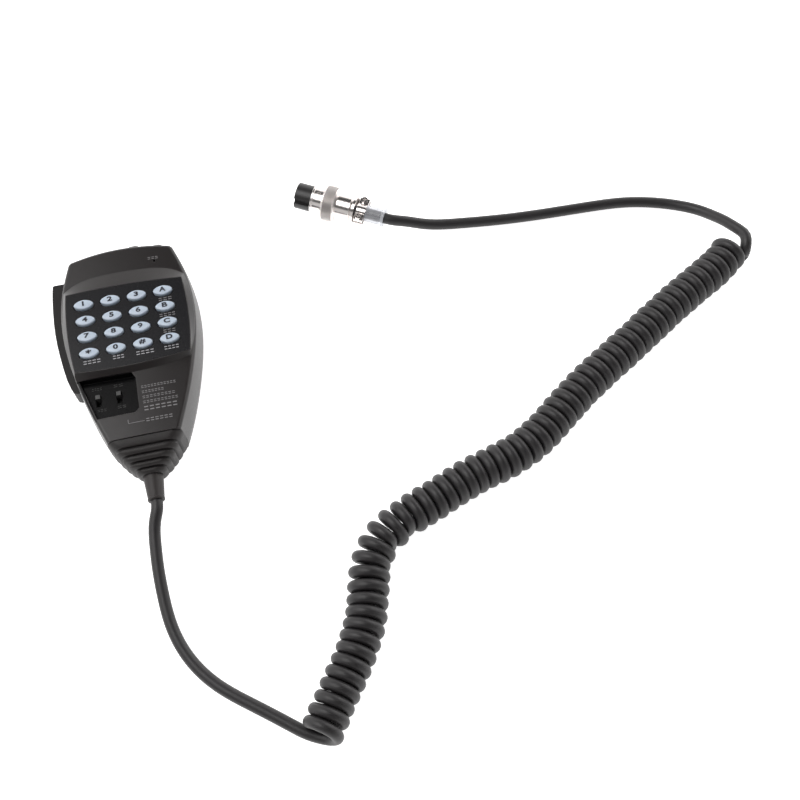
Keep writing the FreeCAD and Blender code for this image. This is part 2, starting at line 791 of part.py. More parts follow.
# ---------------------------------------------------------------------- board
BOARD_INSET = 2.3  # inside the case's half width
BOARD_STATIONS = [-45.0, -38.0, -28.0, -18.0, -8.0, 2.0, 12.0, 22.0, 30.0]
board_right = [(half_width(y) - BOARD_INSET, y) for y in BOARD_STATIONS]
board_right.append((21.2, 37.5))
board_left = [(-x, y) for x, y in reversed(board_right)]
cut(
    pad_body(board_right + board_left, dim.board_z, dim.board_t),
    posts_at(BOSSES[:2], dim.boss_rad + 0.3, 10.0, 24.0)
    + posts_at(BOARD_POSTS, 1.0, 10.0, 24.0)
    + posts_at(PIVOT, PIVOT_POST_RAD + 0.3 - 2.6 + dim.pivot_rad.value, 10.0, 24.0)
    if False else
    posts_at(BOSSES[:2], dim.boss_rad + 0.3, 10.0, 24.0)
    + posts_at(BOARD_POSTS, 1.0, 10.0, 24.0)
    + posts_at(PIVOT, dim.pivot_rad + 0.3, 10.0, 24.0),
    "main_pcb",
)
group(
    [
        fuse([
            cyl(1.9, 1.3, (x, y, dim.board_z - 1.3)),
            cyl(0.8, 5.3, (x, y, dim.board_z - 0.1)),
        ])
        for x, y in BOARD_POSTS
    ],
    "pcb_screws",
)

# Chips under the board: x, y, width, depth, thickness.
CHIPS = [
    (-6.0, 4.0, 14.0, 8.0, 1.7),
    (-4.0, -30.0, 7.0, 5.0, 1.6),
    (8.0, 24.0, 6.0, 4.0, 1.4),
]
group(
    [
        box((x, y, dim.board_z - thick), (width, depth, thick))
        for x, y, width, depth, thick in CHIPS
    ],
    "control_chips",
)

# Crystal can with rounded ends.
CRYSTAL_RAD = 2.2
CRYSTAL_TALL = 3.5
crystal_z = dim.board_z - CRYSTAL_TALL
fuse(
    [box((-3.0, -10.0, crystal_z), (6.0, 2 * CRYSTAL_RAD, CRYSTAL_TALL))]
    + [cyl(CRYSTAL_RAD, CRYSTAL_TALL, (x, -7.8, crystal_z)) for x in (-3.0, 3.0)],
    "quartz_crystal",
)
CAPACITORS = [(11.0, -10.0), (16.0, -10.0), (13.5, -15.0)]
group(
    [cyl(2.0, 5.0, (x, y, dim.board_z - 5.0)) for x, y in CAPACITORS],
    "filter_capacitors",
)

# ------------------------------------------------------- microphone capsule
cyl(3.0, 2.5, (dim.mic_x, dim.mic_y, board_top + 1.1), name="mic_capsule")
cut(
    cyl(4.0, dim.ceiling_z - board_top - 0.1, (dim.mic_x, dim.mic_y, board_top + 0.05)),
    [
        cyl(3.02, 2.6, (dim.mic_x, dim.mic_y, board_top + 1.05)),
        cyl(1.6, 8.0, (dim.mic_x, dim.mic_y, board_top - 1.0)),
    ],
    "capsule_holder",
)

# ----------------------------------------------------------------- fasteners
screw_head_z = dim.screw_seat_z - dim.screw_head_len


def case_screw(x, y):
    head = cyl(dim.screw_head_rad, dim.screw_head_len, (x, y, screw_head_z))
    shank = cyl(
        dim.screw_rad, dim.screw_tip_z - dim.screw_seat_z + 0.2,
        (x, y, dim.screw_seat_z - 0.2),
    )
    return cut(fuse([head, shank]), cross_slot(x, y, screw_head_z - 0.5, 2.6, 0.6, 1.5))


group([case_screw(x, y) for x, y in BOSSES], "case_screws")

# Hanger stud: turned about its own X axis, then stood up along Z.
stud = turned_body(
    [
        (0, 0), (0, dim.stud_head_rad),
        (dim.stud_head_t - 0.4, dim.stud_head_rad),
        (dim.stud_head_t, dim.stud_head_rad - 0.4),
        (dim.stud_head_t, dim.stud_neck_rad), (dim.back_z, dim.stud_neck_rad),
        (dim.back_z, dim.stud_shank_rad), (dim.stud_tip_z, dim.stud_shank_rad),
        (dim.stud_tip_z, 0),
    ],
    "hanger_stud",
)
place(stud, (0, 0, 0), AXIS_TURN["-x"])
cut(
    hexagon(dim.nut_flat, dim.nut_t, (0, 0, dim.back_z + dim.wall)),
    [cyl(dim.stud_shank_rad + 0.02, 6.0, (0, 0, dim.back_z))],
    "stud_nut",
)

# ------------------------------------------------------------ push to talk
# Lever outline seen from the front: x, y.
LEVER = [
    (-34.5, 34.9), (-35.1, 34.3), (-35.4, 32.2), (-35.85, 27.0), (-36.1, 20.9),
    (-36.25, 14.0), (-36.1, 7.8), (-35.6, 1.0), (-34.8, -5.3), (-33.9, -11.5),
    (-32.8, -17.4), (-31.3, -22.4), (-30.3, -24.5), (-28.9, -25.1),
    (-24.4, -25.3), (-22.0, -25.1), (-19.3, -23.8), (-19.0, -20.6), (-21.0, -18.8),
    (-26.2, -16.5), (-27.0, -10.0), (-27.45, -5.0), (-27.8, 5.0), (-27.5, 12.0),
    (-26.8, 20.0), (-25.0, 29.0), (-23.3, 34.9),
]
cut(
    pad_body(LEVER, dim.lever_z, dim.lever_t),
    [cyl(
        dim.pivot_rad + dim.pivot_gap, 20.0,
        (dim.pivot_x, dim.pivot_y, dim.lever_z - 4.0),
    )],
    "ptt_lever",
)
cyl(
    dim.pivot_rad, 14.5, (dim.pivot_x, dim.pivot_y, dim.back_z + 1.1),
    name="ptt_pivot_pin",
)

# Switch under the board, its plunger pointing at the lever.
switch_x = -25.9
switch_tall = 6.2
cut(
    box(
        (switch_x, dim.ptt_switch_y - 4.0, dim.board_z - switch_tall),
        (6.0, 8.0, switch_tall),
    ),
    [cyl(1.05, 3.7, (switch_x, dim.ptt_switch_y, dim.ptt_switch_z), "x")],
    "ptt_switch_body",
)
cyl(
    1.0, 4.0, (-27.25, dim.ptt_switch_y, dim.ptt_switch_z), "x",
    name="ptt_switch_plunger",
)

# Return spring: a round wire on a helix, laid along -X from its wall.
SPRING_PITCH, SPRING_LEN, SPRING_RAD, SPRING_WIRE_RAD = 1.0, 6.05, 1.8, 0.3
helix = Part.makeHelix(SPRING_PITCH, SPRING_LEN, SPRING_RAD)
place(
    feature("ptt_return_spring", round_sweep(helix.Edges, SPRING_WIRE_RAD)),
    (spring_wall_x - 0.32, dim.spring_y, dim.spring_z),
    AXIS_TURN["-x"],
)

# --------------------------------------------------------------- top buttons
for side, x, y, tip_y in BUTTONS:
    fuse(
        [
            box((x - 3.8, y, BUTTON_Z - 2.4), (7.6, 0.6, 4.8)),
            box((x - 3.0, y + 0.5, BUTTON_Z - 2.0), (6.0, tip_y - y - 0.5, 4.0)),
        ],
        side + "_button",
    )
    cyl(1.2, 1.8, (x, y - 1.8, BUTTON_Z), "y", name=side + "_switch_plunger")
group(
    [
        cut(
            box((x - 3.0, y - 2.5, board_top), (6.0, 1.9, 4.5)),
            [cyl(1.25, 1.75, (x, y - 2.35, BUTTON_Z), "y")],
        )
        for _, x, y, _ in BUTTONS
    ],
    "tact_switch_bodies",
)

# ------------------------------------------------------------ slide switches
for name, x in SLIDE_SWITCHES:
    box((x - 1.0, SLIDE_Y - 1.0, board_top + 0.45), (2.0, 2.0, 5.4), name)
group(
    [
        cut(
            box((x - 2.5, SLIDE_Y - 5.6, board_top), (5.0, 8.2, 2.6)),
            [box((x - 1.15, slide_slot_y, board_top + 0.4), (2.3, slide_slot_len, 4.0))],
        )
        for _, x in SLIDE_SWITCHES
    ],
    "slide_switch_bodies",
)

# ------------------------------------------------------------------ end boot
# y, half width, half height, middle height, corner radius.
BOOT = [
    (-57.0, 17.0, 11.6, 16.2, 5.0), (-60.6, 14.9, 10.7, 16.1, 5.0),
    (-62.5, 13.7, 10.1, 16.0, 5.0), (-66.0, 11.3, 8.9, 15.8, 4.9),
    (-69.0, 8.9, 7.5, 15.6, 4.6), (-71.5, 6.4, 6.1, 15.5, 4.4),
    (-72.5, 5.6, 5.6, 15.5, 4.2),
]
# Full-size ribs between the grooves: y of the two faces.
BOOT_RIBS = [
    (-57.0, -60.6), (-61.8, -64.0), (-65.0, -67.0), (-68.0, -69.8), (-70.7, -72.5),
]
axis_z = val("cord_axis_z")


def boot_ring(y, inset):
    """A rounded rectangle across Y, as a closed wire."""
    distances = [-row[0] for row in BOOT]
    half_w, half_h, mid_z, round_rad = [
        interpolate(-y, distances, [row[k] for row in BOOT]) for k in range(1, 5)
    ]
    half_w, half_h = half_w - inset, half_h - inset
    round_rad = min(max(round_rad - inset, 1.0), half_w - 0.3, half_h - 0.3)
    flat_w, flat_h = half_w - round_rad, half_h - round_rad
    arc_in = round_rad * (1 - math.sqrt(0.5))
    arc_w, arc_h = half_w - arc_in, half_h - arc_in

    def point(across, up):
        return FreeCAD.Vector(across, y, mid_z + up)

    sides = [
        (point(-flat_w, -half_h), point(flat_w, -half_h)),
        (point(half_w, -flat_h), point(half_w, flat_h)),
        (point(flat_w, half_h), point(-flat_w, half_h)),
        (point(-half_w, flat_h), point(-half_w, -flat_h)),
    ]
    arc_middles = [
        point(arc_w, -arc_h), point(arc_w, arc_h),
        point(-arc_w, arc_h), point(-arc_w, -arc_h),
    ]
    edges = []
    for i, (start, end) in enumerate(sides):
        edges.append(Part.makeLine(start, end))
        next_start = sides[(i + 1) % 4][0]
        edges.append(Part.Arc(end, arc_middles[i], next_start).toShape())
    return Part.Wire(edges)


def boot_block(stations, inset=0.0):
    return Part.makeLoft([boot_ring(y, inset) for y in stations], True, True)


def boot_cylinder(rad, length, y):
    """A cylinder on the cord axis, from y towards -Y."""
    return Part.makeCylinder(
        rad, length, FreeCAD.Vector(0, y, axis_z), FreeCAD.Vector(0, -1, 0)
    )


def boot_shape():
    """Ribs on a slimmer core, with a neck and flange that hold in the case."""
    core_stations = [BOOT_RIBS[0][0]] + [end for _, end in BOOT_RIBS]
    shape = boot_block(core_stations, val("groove_deep"))
    for rib in BOOT_RIBS:
        shape = shape.fuse(boot_block(rib))
    neck = boot_cylinder(boot_neck_rad, 2.2, -54.9)
    flange = boot_cylinder(6.2, 1.45, -53.5)
    bore = boot_cylinder(val("sleeve_rad") + 0.02, 30.0, -50.0)
    return shape.fuse([neck, flange]).cut(bore).removeSplitter()


feature("end_boot", boot_shape())

# Strain relief: turned about X, then laid along -Y.
relief_len = dim.boot_end_y - dim.relief_end_y
relief_head_rad = 4.25  # collar at the inner end of the sleeve
relief = turned_body(
    [
        (-21.0, dim.cord_rad + 0.02), (-21.0, relief_head_rad),
        (-19.02, relief_head_rad), (-19.02, dim.sleeve_rad),
        (0.02, dim.sleeve_rad), (0.02, dim.relief_big_rad),
        (relief_len - 1.3, dim.relief_small_rad + 0.05),
        (relief_len - 1.0, dim.relief_small_rad + 0.2),
        (relief_len - 0.3, dim.relief_small_rad + 0.15),
        (relief_len, dim.relief_small_rad - 0.1),
        (relief_len, dim.cord_rad + 0.02),
    ],
    "strain_relief",
)
place(
    relief, (0, dim.boot_end_y, dim.cord_axis_z),
    FreeCAD.Rotation(FreeCAD.Vector(0, 0, 1), -90),
)

# ---------------------------------------------------------------- coil curve
axis_points = [
    FreeCAD.Vector(x, y, 0)
    for x, y in zip(read_column("axis_x", COIL_AXIS), read_column("axis_y", COIL_AXIS))
]
pitches = read_column("axis_p", COIL_AXIS)
axis_curve = Part.BSplineCurve()
axis_curve.interpolate(axis_points)
axis_edge = axis_curve.toShape()
axis_len = axis_edge.Length
knots = [axis_curve.parameter(point) for point in axis_points]
# Distance of each station along the axis.
station_at = [0.0] + [axis_curve.toShape(knots[0], knot).Length for knot in knots[1:]]

coil_rad, cord_rad = val("coil_rad"), val("cord_rad")
coil_turns, coil_lean, coil_pull = val("coil_turns"), val("coil_lean"), val("coil_pull")
coil_z = coil_rad + cord_rad
BEND_FROM, BEND_TO = 13.0, 18.0  # turns where the coil bends
POINTS_PER_TURN = 12

# Turns counted along the axis in steps of about 0.1 mm, then scaled to the
# wanted number of turns.
steps = int(axis_len / 0.1)
step = axis_len / steps
turns_by_step = [0.0]
for k in range(steps):
    pitch = interpolate((k + 0.5) * step, station_at, pitches)
    turns_by_step.append(turns_by_step[-1] + step / pitch)
turn_scale = coil_turns / turns_by_step[-1]


def axis_distance(turn):
    """How far along the axis the coil has come after so many turns."""
    want = turn / turn_scale
    low, high = 0, steps
    while high - low > 1:
        middle = (low + high) // 2
        if turns_by_step[middle] <= want:
            low = middle
        else:
            high = middle
    part = (want - turns_by_step[low]) / (turns_by_step[high] - turns_by_step[low])
    return (low + part) * step


def coil_point(turn):
    """Centre of the coiled cord after so many turns from the microphone's end."""
    u = axis_edge.getParameterByLength(axis_distance(turn))
    along = axis_curve.tangent(u)[0]
    across = FreeCAD.Vector(along.y, -along.x, 0)
    angle = -math.pi / 2 + 2 * math.pi * turn
    sideways = math.cos(angle)
    at_bend = min(max(turn - BEND_FROM, 0.0), 1.0) * min(max(BEND_TO - turn, 0.0), 1.0)
    every_other = (1 - math.cos(math.pi * (turn - 0.25))) / 2
    rad = coil_rad - coil_pull * at_bend * every_other * max(0.0, sideways) ** 2
    lean = coil_lean * min(1.0, turn, coil_turns - turn)
    return (
        axis_curve.value(u) + across * (rad * sideways) + along * (lean * sideways)
        + FreeCAD.Vector(0, 0, coil_z + coil_rad * math.sin(angle))
    )


coil_points = [
    coil_point(i / POINTS_PER_TURN)
    for i in range(int(coil_turns * POINTS_PER_TURN) + 1)
]


# ---------------------------------------------------------------------- cord
def curve_pieces(curve, start, end, pieces):
    """Edges of the part of a curve between two parameters, in short pieces."""
    return [
        curve.toShape(
            start + (end - start) * i / pieces, start + (end - start) * (i + 1) / pieces
        )
        for i in range(pieces)
    ]


def run_points(prefix, table):
    columns = [read_column(prefix + "_" + axis, table) for axis in "xyz"]
    return [FreeCAD.Vector(x, y, z) for x, y, z in zip(*columns)]


mic_end_y = -49.5
relief_exit = FreeCAD.Vector(0, val("relief_end_y") - 0.6, axis_z)
plug_angle = math.radians(val("plug_turn"))
plug_along = FreeCAD.Vector(math.cos(plug_angle), math.sin(plug_angle), 0)
plug_at = FreeCAD.Vector(val("plug_x"), val("plug_y"), val("plug_z"))
cord_end_in_plug = plug_at + plug_along * 22.0
plug_exit = plug_at + plug_along * 46.6

# One smooth curve from the strain relief through the coil to the plug.
cord_curve = Part.BSplineCurve()
cord_curve.interpolate(
    [relief_exit, relief_exit + FreeCAD.Vector(0, -1.5, 0)]
    + run_points("micrun", MIC_RUN)
    + coil_points
    + run_points("plugrun", PLUG_RUN)
    + [plug_exit + plug_along * 2.5, plug_exit]
)
coil_from = cord_curve.parameter(coil_points[0])
coil_to = cord_curve.parameter(coil_points[-1])
# Gaps that part the coil from the two runs, as steps of the parameter.
mic_gap = 0.3 / cord_curve.getD1(coil_from)[1].Length
plug_gap = 0.02 / cord_curve.getD1(coil_to)[1].Length

feature("cord_mic_end", round_sweep(
    [Part.makeLine(FreeCAD.Vector(0, mic_end_y, axis_z), relief_exit)]
    + curve_pieces(cord_curve, cord_curve.FirstParameter, coil_from - mic_gap, 14),
    cord_rad,
))
feature("coil_cord", round_sweep(
    curve_pieces(cord_curve, coil_from, coil_to, int(coil_turns)), cord_rad
))
feature("cord_plug_end", round_sweep(
    curve_pieces(cord_curve, coil_to + plug_gap, cord_curve.LastParameter, 20)
    + [Part.makeLine(plug_exit, cord_end_in_plug)],
    cord_rad,
))


def board_wire(x, rise):
    """A thin wire from the cord's end, fanning out up to the board."""
    curve = Part.BSplineCurve()
    curve.interpolate([
        FreeCAD.Vector(x, mic_end_y + 0.03, axis_z + rise),
        FreeCAD.Vector(x * 1.6, mic_end_y + 2.0, axis_z + rise * 0.6),
        FreeCAD.Vector(x * 3.0, mic_end_y + 5.0, axis_z - 0.6),
        FreeCAD.Vector(x * 4.0, mic_end_y + 7.5, axis_z + 1.0),
        FreeCAD.Vector(x * 4.2, mic_end_y + 8.0, val("board_z") - 0.02),
    ])
    return round_sweep([curve.toShape()], 0.3)


# Where each wire starts: x, height above the cord axis.
WIRE_STARTS = [(-1.4, -0.9), (-0.7, 0.9), (0.0, -0.9), (0.7, 0.9), (1.4, -0.9)]
feature(
    "mic_end_wires", Part.makeCompound([board_wire(x, rise) for x, rise in WIRE_STARTS])
)

# ---------------------------------------------------------------------- plug
# Everything here is made along X from the insert's front face, then moved.
PLUG_TURN = FreeCAD.Rotation(FreeCAD.Vector(0, 0, 1), val("plug_turn"))


def into_plug(obj):
    place(obj, (dim.plug_x, dim.plug_y, dim.plug_z), PLUG_TURN)


# Contacts, y and z: one in the middle and seven on a circle.
CONTACT_CIRCLE_RAD = 4.0
contact_angles = [math.radians(90 + i * 360.0 / 7) for i in range(7)]
contacts = [(0.0, 0.0)] + [
    (CONTACT_CIRCLE_RAD * math.cos(angle), CONTACT_CIRCLE_RAD * math.sin(angle))
    for angle in contact_angles
]

# Insert, with a key groove along its rim.
groove_turn = FreeCAD.Rotation(FreeCAD.Vector(1, 0, 0), 62.0)
groove_at = groove_turn.multVec(FreeCAD.Vector(-1.0, -1.3, 5.1))
key_groove = box((-1.0, groove_at.y, groove_at.z), (9.6, 2.6, 4.0), turn=groove_turn)
into_plug(cut(
    fuse([
        cyl(dim.insert_rad, dim.insert_len, (0, 0, 0), "x"),
        cyl(
            dim.insert_tail_rad, dim.insert_tail_x - dim.insert_len + 0.5,
            (dim.insert_len - 0.5, 0, 0), "x",
        ),
    ]),
    [cyl(1.02, dim.insert_tail_x + 4.0, (-1.0, y, z), "x") for y, z in contacts]
    + [key_groove],
    "plug_insert",
))
into_plug(group(
    [
        cut(
            cyl(1.0, 19.5, (0.5, y, z), "x"),
            [cyl(0.55, 6.0, (0.0, y, z), "x")],
        )
        for y, z in contacts
    ],
    "plug_contacts",
))

# Barrel, with a set-screw hole and two flats on its sides.
SET_SCREW_X = 12.1
ring_end = dim.ring_x + dim.ring_len
barrel_bore = dim.insert_tail_rad + 0.03
barrel_front = dim.insert_len + 0.02
barrel = turned_body([
    (barrel_front, barrel_bore), (barrel_front, dim.flange_rad - 0.3),
    (dim.insert_len + 0.3, dim.flange_rad), (dim.flange_end_x - 0.2, dim.flange_rad),
    (dim.flange_end_x, dim.flange_rad - 0.2), (dim.flange_end_x, dim.barrel_rad),
    (ring_end + 0.3, dim.barrel_rad), (ring_end + 0.3, dim.rear_rad),
    (dim.barrel_end_x - 0.5, dim.rear_rad), (dim.barrel_end_x, dim.rear_rad - 0.5),
    (dim.barrel_end_x, barrel_bore),
])
into_plug(cut(
    barrel,
    [cyl(0.92, 4.0, (SET_SCREW_X, 0, dim.barrel_rad - 2.0))]
    + [box((23.4, side * 7.9 - 1.5, -4.0), (4.2, 3.0, 8.0)) for side in (-1, 1)],
    "plug_barrel",
))
into_plug(cut(
    cyl(0.9, 1.3, (SET_SCREW_X, 0, dim.barrel_rad - 1.4)),
    [box((SET_SCREW_X - 1.2, -0.15, dim.barrel_rad - 0.6), (2.4, 0.3, 1.0))],
    "insert_set_screw",
))

# Coupling ring, with a groove in its bore for the snap clip.
clip_groove_rad = 8.75
into_plug(turned_body(
    [
        (dim.ring_x, dim.ring_thread_rad), (dim.ring_x, dim.ring_rad - 0.5),
        (dim.ring_x + 0.5, dim.ring_rad), (ring_end - 0.5, dim.ring_rad),
        (ring_end, dim.ring_rad - 0.5), (ring_end, dim.ring_lip_rad),
        (ring_end - 1.2, dim.ring_lip_rad), (ring_end - 1.2, dim.ring_thread_rad),
        (ring_end - 2.0, dim.ring_thread_rad), (ring_end - 2.0, clip_groove_rad),
        (ring_end - 2.7, clip_groove_rad), (ring_end - 2.7, dim.ring_thread_rad),
    ],
    "coupling_ring",
))
into_plug(cut(
    cyl(8.68, 0.6, (ring_end - 2.65, 0, 0), "x"),
    [
        cyl(dim.barrel_rad + 0.05, 3.0, (ring_end - 4.0, 0, 0), "x"),
        box((ring_end - 4.0, -1.0, -10.0), (3.0, 2.0, 6.0)),
    ],
    "ring_snap_clip",
))

# Cable clamp: a body cut flat on its +Z side, a saddle on the flat, two screws.
CLAMP_SCREWS = [(34.3, -5.2), (34.3, 5.2)]
clamp_flat_z = 0.2
clamp_bore = 3.05
clamp_hole_rad = 0.93
clamp_front = dim.barrel_end_x + 0.05
saddle_x, saddle_len = 31.9, 4.8
saddle_z = clamp_flat_z + 0.05
saddle_thick = 2.3
saddle_top = saddle_z + saddle_thick


def clamp_screw_holes(z0):
    return [cyl(clamp_hole_rad, 7.0, (x, y, z0)) for x, y in CLAMP_SCREWS]


into_plug(cut(
    turned_body([
        (clamp_front, clamp_bore), (clamp_front, dim.clamp_rad - 0.5),
        (dim.barrel_end_x + 0.5, dim.clamp_rad), (dim.clamp_end_x - 0.4, dim.clamp_rad),
        (dim.clamp_end_x, dim.clamp_rad - 0.4), (dim.clamp_end_x, clamp_bore),
    ]),
    [box((31.3, -9.0, clamp_flat_z), (8.0, 18.0, 9.0))] + clamp_screw_holes(-4.2),
    "plug_clamp_body",
))
into_plug(cut(
    fuse([
        box((saddle_x, -6.7, saddle_z), (saddle_len, 13.4, saddle_thick)),
        cyl(3.9, saddle_len, (saddle_x, 0, 0), "x"),
    ]),
    [
        cyl(clamp_bore, 8.0, (30.0, 0, 0), "x"),
        box((30.0, -9.0, saddle_z - 9.0), (9.0, 18.0, 9.0)),
    ]
    + clamp_screw_holes(-2.0),
    "clamp_saddle",
))
into_plug(group(
    [
        cut(
            fuse([
                cyl(1.55, 1.3, (x, y, saddle_top)),
                cyl(0.9, saddle_top + 4.0, (x, y, -3.9)),
            ]),
            cross_slot(x, y, saddle_top + 0.6, 2.4, 0.44, 2.0),
        )
        for x, y in CLAMP_SCREWS
    ],
    "clamp_screws",
))

# Clear sleeve round the cord, flared at its rear end.
sleeve_bore = dim.cord_rad + 0.03
sleeve_step = dim.clamp_end_x + 0.05
sleeve_end = dim.clear_sleeve_x
into_plug(turned_body(
    [
        (29.6, sleeve_bore), (29.6, 3.0), (sleeve_step, 3.0),
        (sleeve_step, dim.clear_sleeve_rad), (sleeve_end - 1.4, dim.clear_sleeve_rad),
        (sleeve_end - 0.9, dim.clear_sleeve_rad + 0.5),
        (sleeve_end, dim.clear_sleeve_rad + 0.6),
        (sleeve_end, dim.cord_rad + 0.9), (sleeve_end - 1.5, sleeve_bore),
    ],
    "cord_sleeve",
))

# -------------------------------------------------------------- check, write
doc.recompute()

NODES = [
    "front_case", "rear_case", "key_panel", "keypad_mat", "main_pcb", "pcb_screws",
    "control_chips", "quartz_crystal", "backlight_leds", "filter_capacitors",
    "mic_capsule", "capsule_holder", "case_screws", "hanger_stud", "stud_nut",
    "end_boot", "strain_relief", "cord_mic_end", "mic_end_wires", "ptt_pivot_pin",
    "ptt_switch_body", "tact_switch_bodies", "slide_switch_bodies", "coil_cord",
    "up_button", "down_button", "up_switch_plunger", "down_switch_plunger",
    "ptt_lever", "ptt_switch_plunger", "ptt_return_spring", "lock_switch_knob",
    "mode_switch_knob", "plug_barrel", "plug_insert", "plug_contacts",
    "insert_set_screw", "plug_clamp_body", "clamp_saddle", "clamp_screws",
    "cord_sleeve", "cord_plug_end", "ring_snap_clip", "coupling_ring",
] + [name for name, _, _ in keys]

bad = []
by_label = {}
for obj in doc.Objects:
    by_label.setdefault(obj.Label, obj)
    if any(state in ("Invalid", "Error") for state in obj.State):
        bad.append("%s: %s" % (obj.Name, obj.State))
for node in NODES:
    obj = by_label.get(node)
    if obj is None or obj.Shape.isNull() or not obj.Shape.isValid():
        bad.append("%s: no valid shape" % node)
    elif not obj.Shape.Solids:
        bad.append("%s: no solid" % node)
if bad:
    raise RuntimeError("; ".join(bad))

os.makedirs("parts", exist_ok=True)
for node in NODES:
    by_label[node].Shape.exportStep("parts/%s.step" % node)
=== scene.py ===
# A keypad hand microphone, its coiled cord and its round plug, lying on a white floor.
# The handset is face up at the origin: X runs across it, its cord leaves towards -Y,
# and +Z is up. The plug lies to the right of it (+X), turned about Z.
# Sizes are in millimetres unless a comment says otherwise; MM turns them into metres.
import math
import bpy
import bmesh
import numpy as np
from mathutils import Vector, Matrix


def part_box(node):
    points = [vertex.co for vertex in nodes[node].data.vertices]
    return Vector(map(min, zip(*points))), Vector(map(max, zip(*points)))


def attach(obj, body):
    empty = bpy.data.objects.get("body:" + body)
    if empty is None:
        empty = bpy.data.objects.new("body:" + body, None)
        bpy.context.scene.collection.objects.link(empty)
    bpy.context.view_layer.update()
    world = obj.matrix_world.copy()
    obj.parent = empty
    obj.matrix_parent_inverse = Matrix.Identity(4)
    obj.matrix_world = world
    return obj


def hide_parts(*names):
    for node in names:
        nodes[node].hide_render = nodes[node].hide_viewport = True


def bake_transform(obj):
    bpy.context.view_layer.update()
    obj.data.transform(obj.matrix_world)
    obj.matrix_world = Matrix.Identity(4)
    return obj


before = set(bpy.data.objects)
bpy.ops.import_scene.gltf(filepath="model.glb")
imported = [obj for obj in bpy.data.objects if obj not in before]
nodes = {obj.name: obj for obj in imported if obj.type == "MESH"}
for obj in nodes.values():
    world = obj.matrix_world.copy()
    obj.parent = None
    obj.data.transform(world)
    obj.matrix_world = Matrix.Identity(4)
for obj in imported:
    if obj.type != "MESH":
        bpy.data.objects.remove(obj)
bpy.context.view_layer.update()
MM = 0.001
scene = bpy.context.scene

KEYS = ["1", "2", "3", "a", "4", "5", "6", "b", "7", "8", "9", "c", "star", "0", "hash", "d"]

CORD_R = 2.72
CORD_EXIT_Z = 15.5  # height of the cord's axis where it leaves the handset

# The plug's own frame: its X runs from the insert to the cable.
PLUG_TURN = math.radians(-29.86)
PLUG_DIR = np.array([math.cos(PLUG_TURN), math.sin(PLUG_TURN), 0.0])
PLUG_POS = np.array([90.1, 67.5, 9.5])
PLUG_CABLE_X = 46.6  # where the cable leaves the plug


# --------------------------------------------------------------- shader helpers
def feed(tree, node, inputs):
    """Link the inputs given as sockets, set the others; None leaves an input alone."""
    for key, value in inputs.items():
        if isinstance(value, bpy.types.NodeSocket):
            tree.links.new(value, node.inputs[key])
        elif value is not None:
            node.inputs[key].default_value = value


def add_node(tree, kind, inputs=(), **settings):
    """A node with its settings made first, since they decide which inputs it has."""
    node = tree.nodes.new(kind)
    for key, value in settings.items():
        setattr(node, key, value)
    feed(tree, node, dict(inputs))
    return node


def find_node(tree, kind):
    return next(node for node in tree.nodes if node.type == kind)


def noise(tree, place, scale, detail):
    inputs = {"Vector": place, "Scale": scale, "Detail": detail}
    return add_node(tree, "ShaderNodeTexNoise", inputs).outputs["Fac"]


def mix(tree, factor, a, b, data_type="FLOAT"):
    inputs = {"Factor": factor, "A": a, "B": b}
    return add_node(tree, "ShaderNodeMix", inputs, data_type=data_type).outputs["Result"]


def map_range(tree, value, source=(0.0, 1.0), target=(0.0, 1.0), **settings):
    inputs = {
        "Value": value,
        "From Min": source[0], "From Max": source[1],
        "To Min": target[0], "To Max": target[1],
    }
    return add_node(tree, "ShaderNodeMapRange", inputs, **settings).outputs["Result"]


def calculate(tree, operation, a, b):
    return add_node(tree, "ShaderNodeMath", {0: a, 1: b}, operation=operation).outputs[0]


def dot_product(tree, a, b):
    node = add_node(tree, "ShaderNodeVectorMath", {0: a, 1: b}, operation="DOT_PRODUCT")
    return node.outputs["Value"]


def bump(tree, height, strength, depth, normal):
    inputs = {"Strength": strength, "Distance": depth, "Height": height, "Normal": normal}
    return add_node(tree, "ShaderNodeBump", inputs).outputs["Normal"]


def opaque(channels):
    return (*(min(1.0, channel) for channel in channels), 1)


def new_material(name):
    """A material holding only an output and a principled shader."""
    material = bpy.data.materials.new(name)
    material.use_nodes = True
    tree = material.node_tree
    tree.nodes.clear()
    output = tree.nodes.new("ShaderNodeOutputMaterial")
    shader = tree.nodes.new("ShaderNodeBsdfPrincipled")
    tree.links.new(shader.outputs[0], output.inputs[0])
    return material, shader


def wear_edges(tree, base, color, rounded, blotch, wear):
    """Lighten the colour in patches where the rounded normal leaves the true one."""
    geometry = add_node(tree, "ShaderNodeNewGeometry")
    agreement = dot_product(tree, rounded, geometry.outputs["Normal"])
    edge_share = map_range(tree, agreement, source=(0.995, 0.86), target=(0.0, wear))
    factor = calculate(tree, "MULTIPLY", edge_share, blotch)
    return mix(tree, factor, base, opaque(c * 3 + 0.03 for c in color), "RGBA")


def box_mask(tree, place, box):
    """1 inside a box given as axis: (low, high), 0 outside."""
    split = add_node(tree, "ShaderNodeSeparateXYZ", {0: place})
    mask = None
    for axis, (low, high) in box.items():
        for operation, limit in (("GREATER_THAN", low), ("LESS_THAN", high)):
            inside = calculate(tree, operation, split.outputs[axis], limit * MM)
            mask = inside if mask is None else calculate(tree, "MULTIPLY", mask, inside)
    return mask


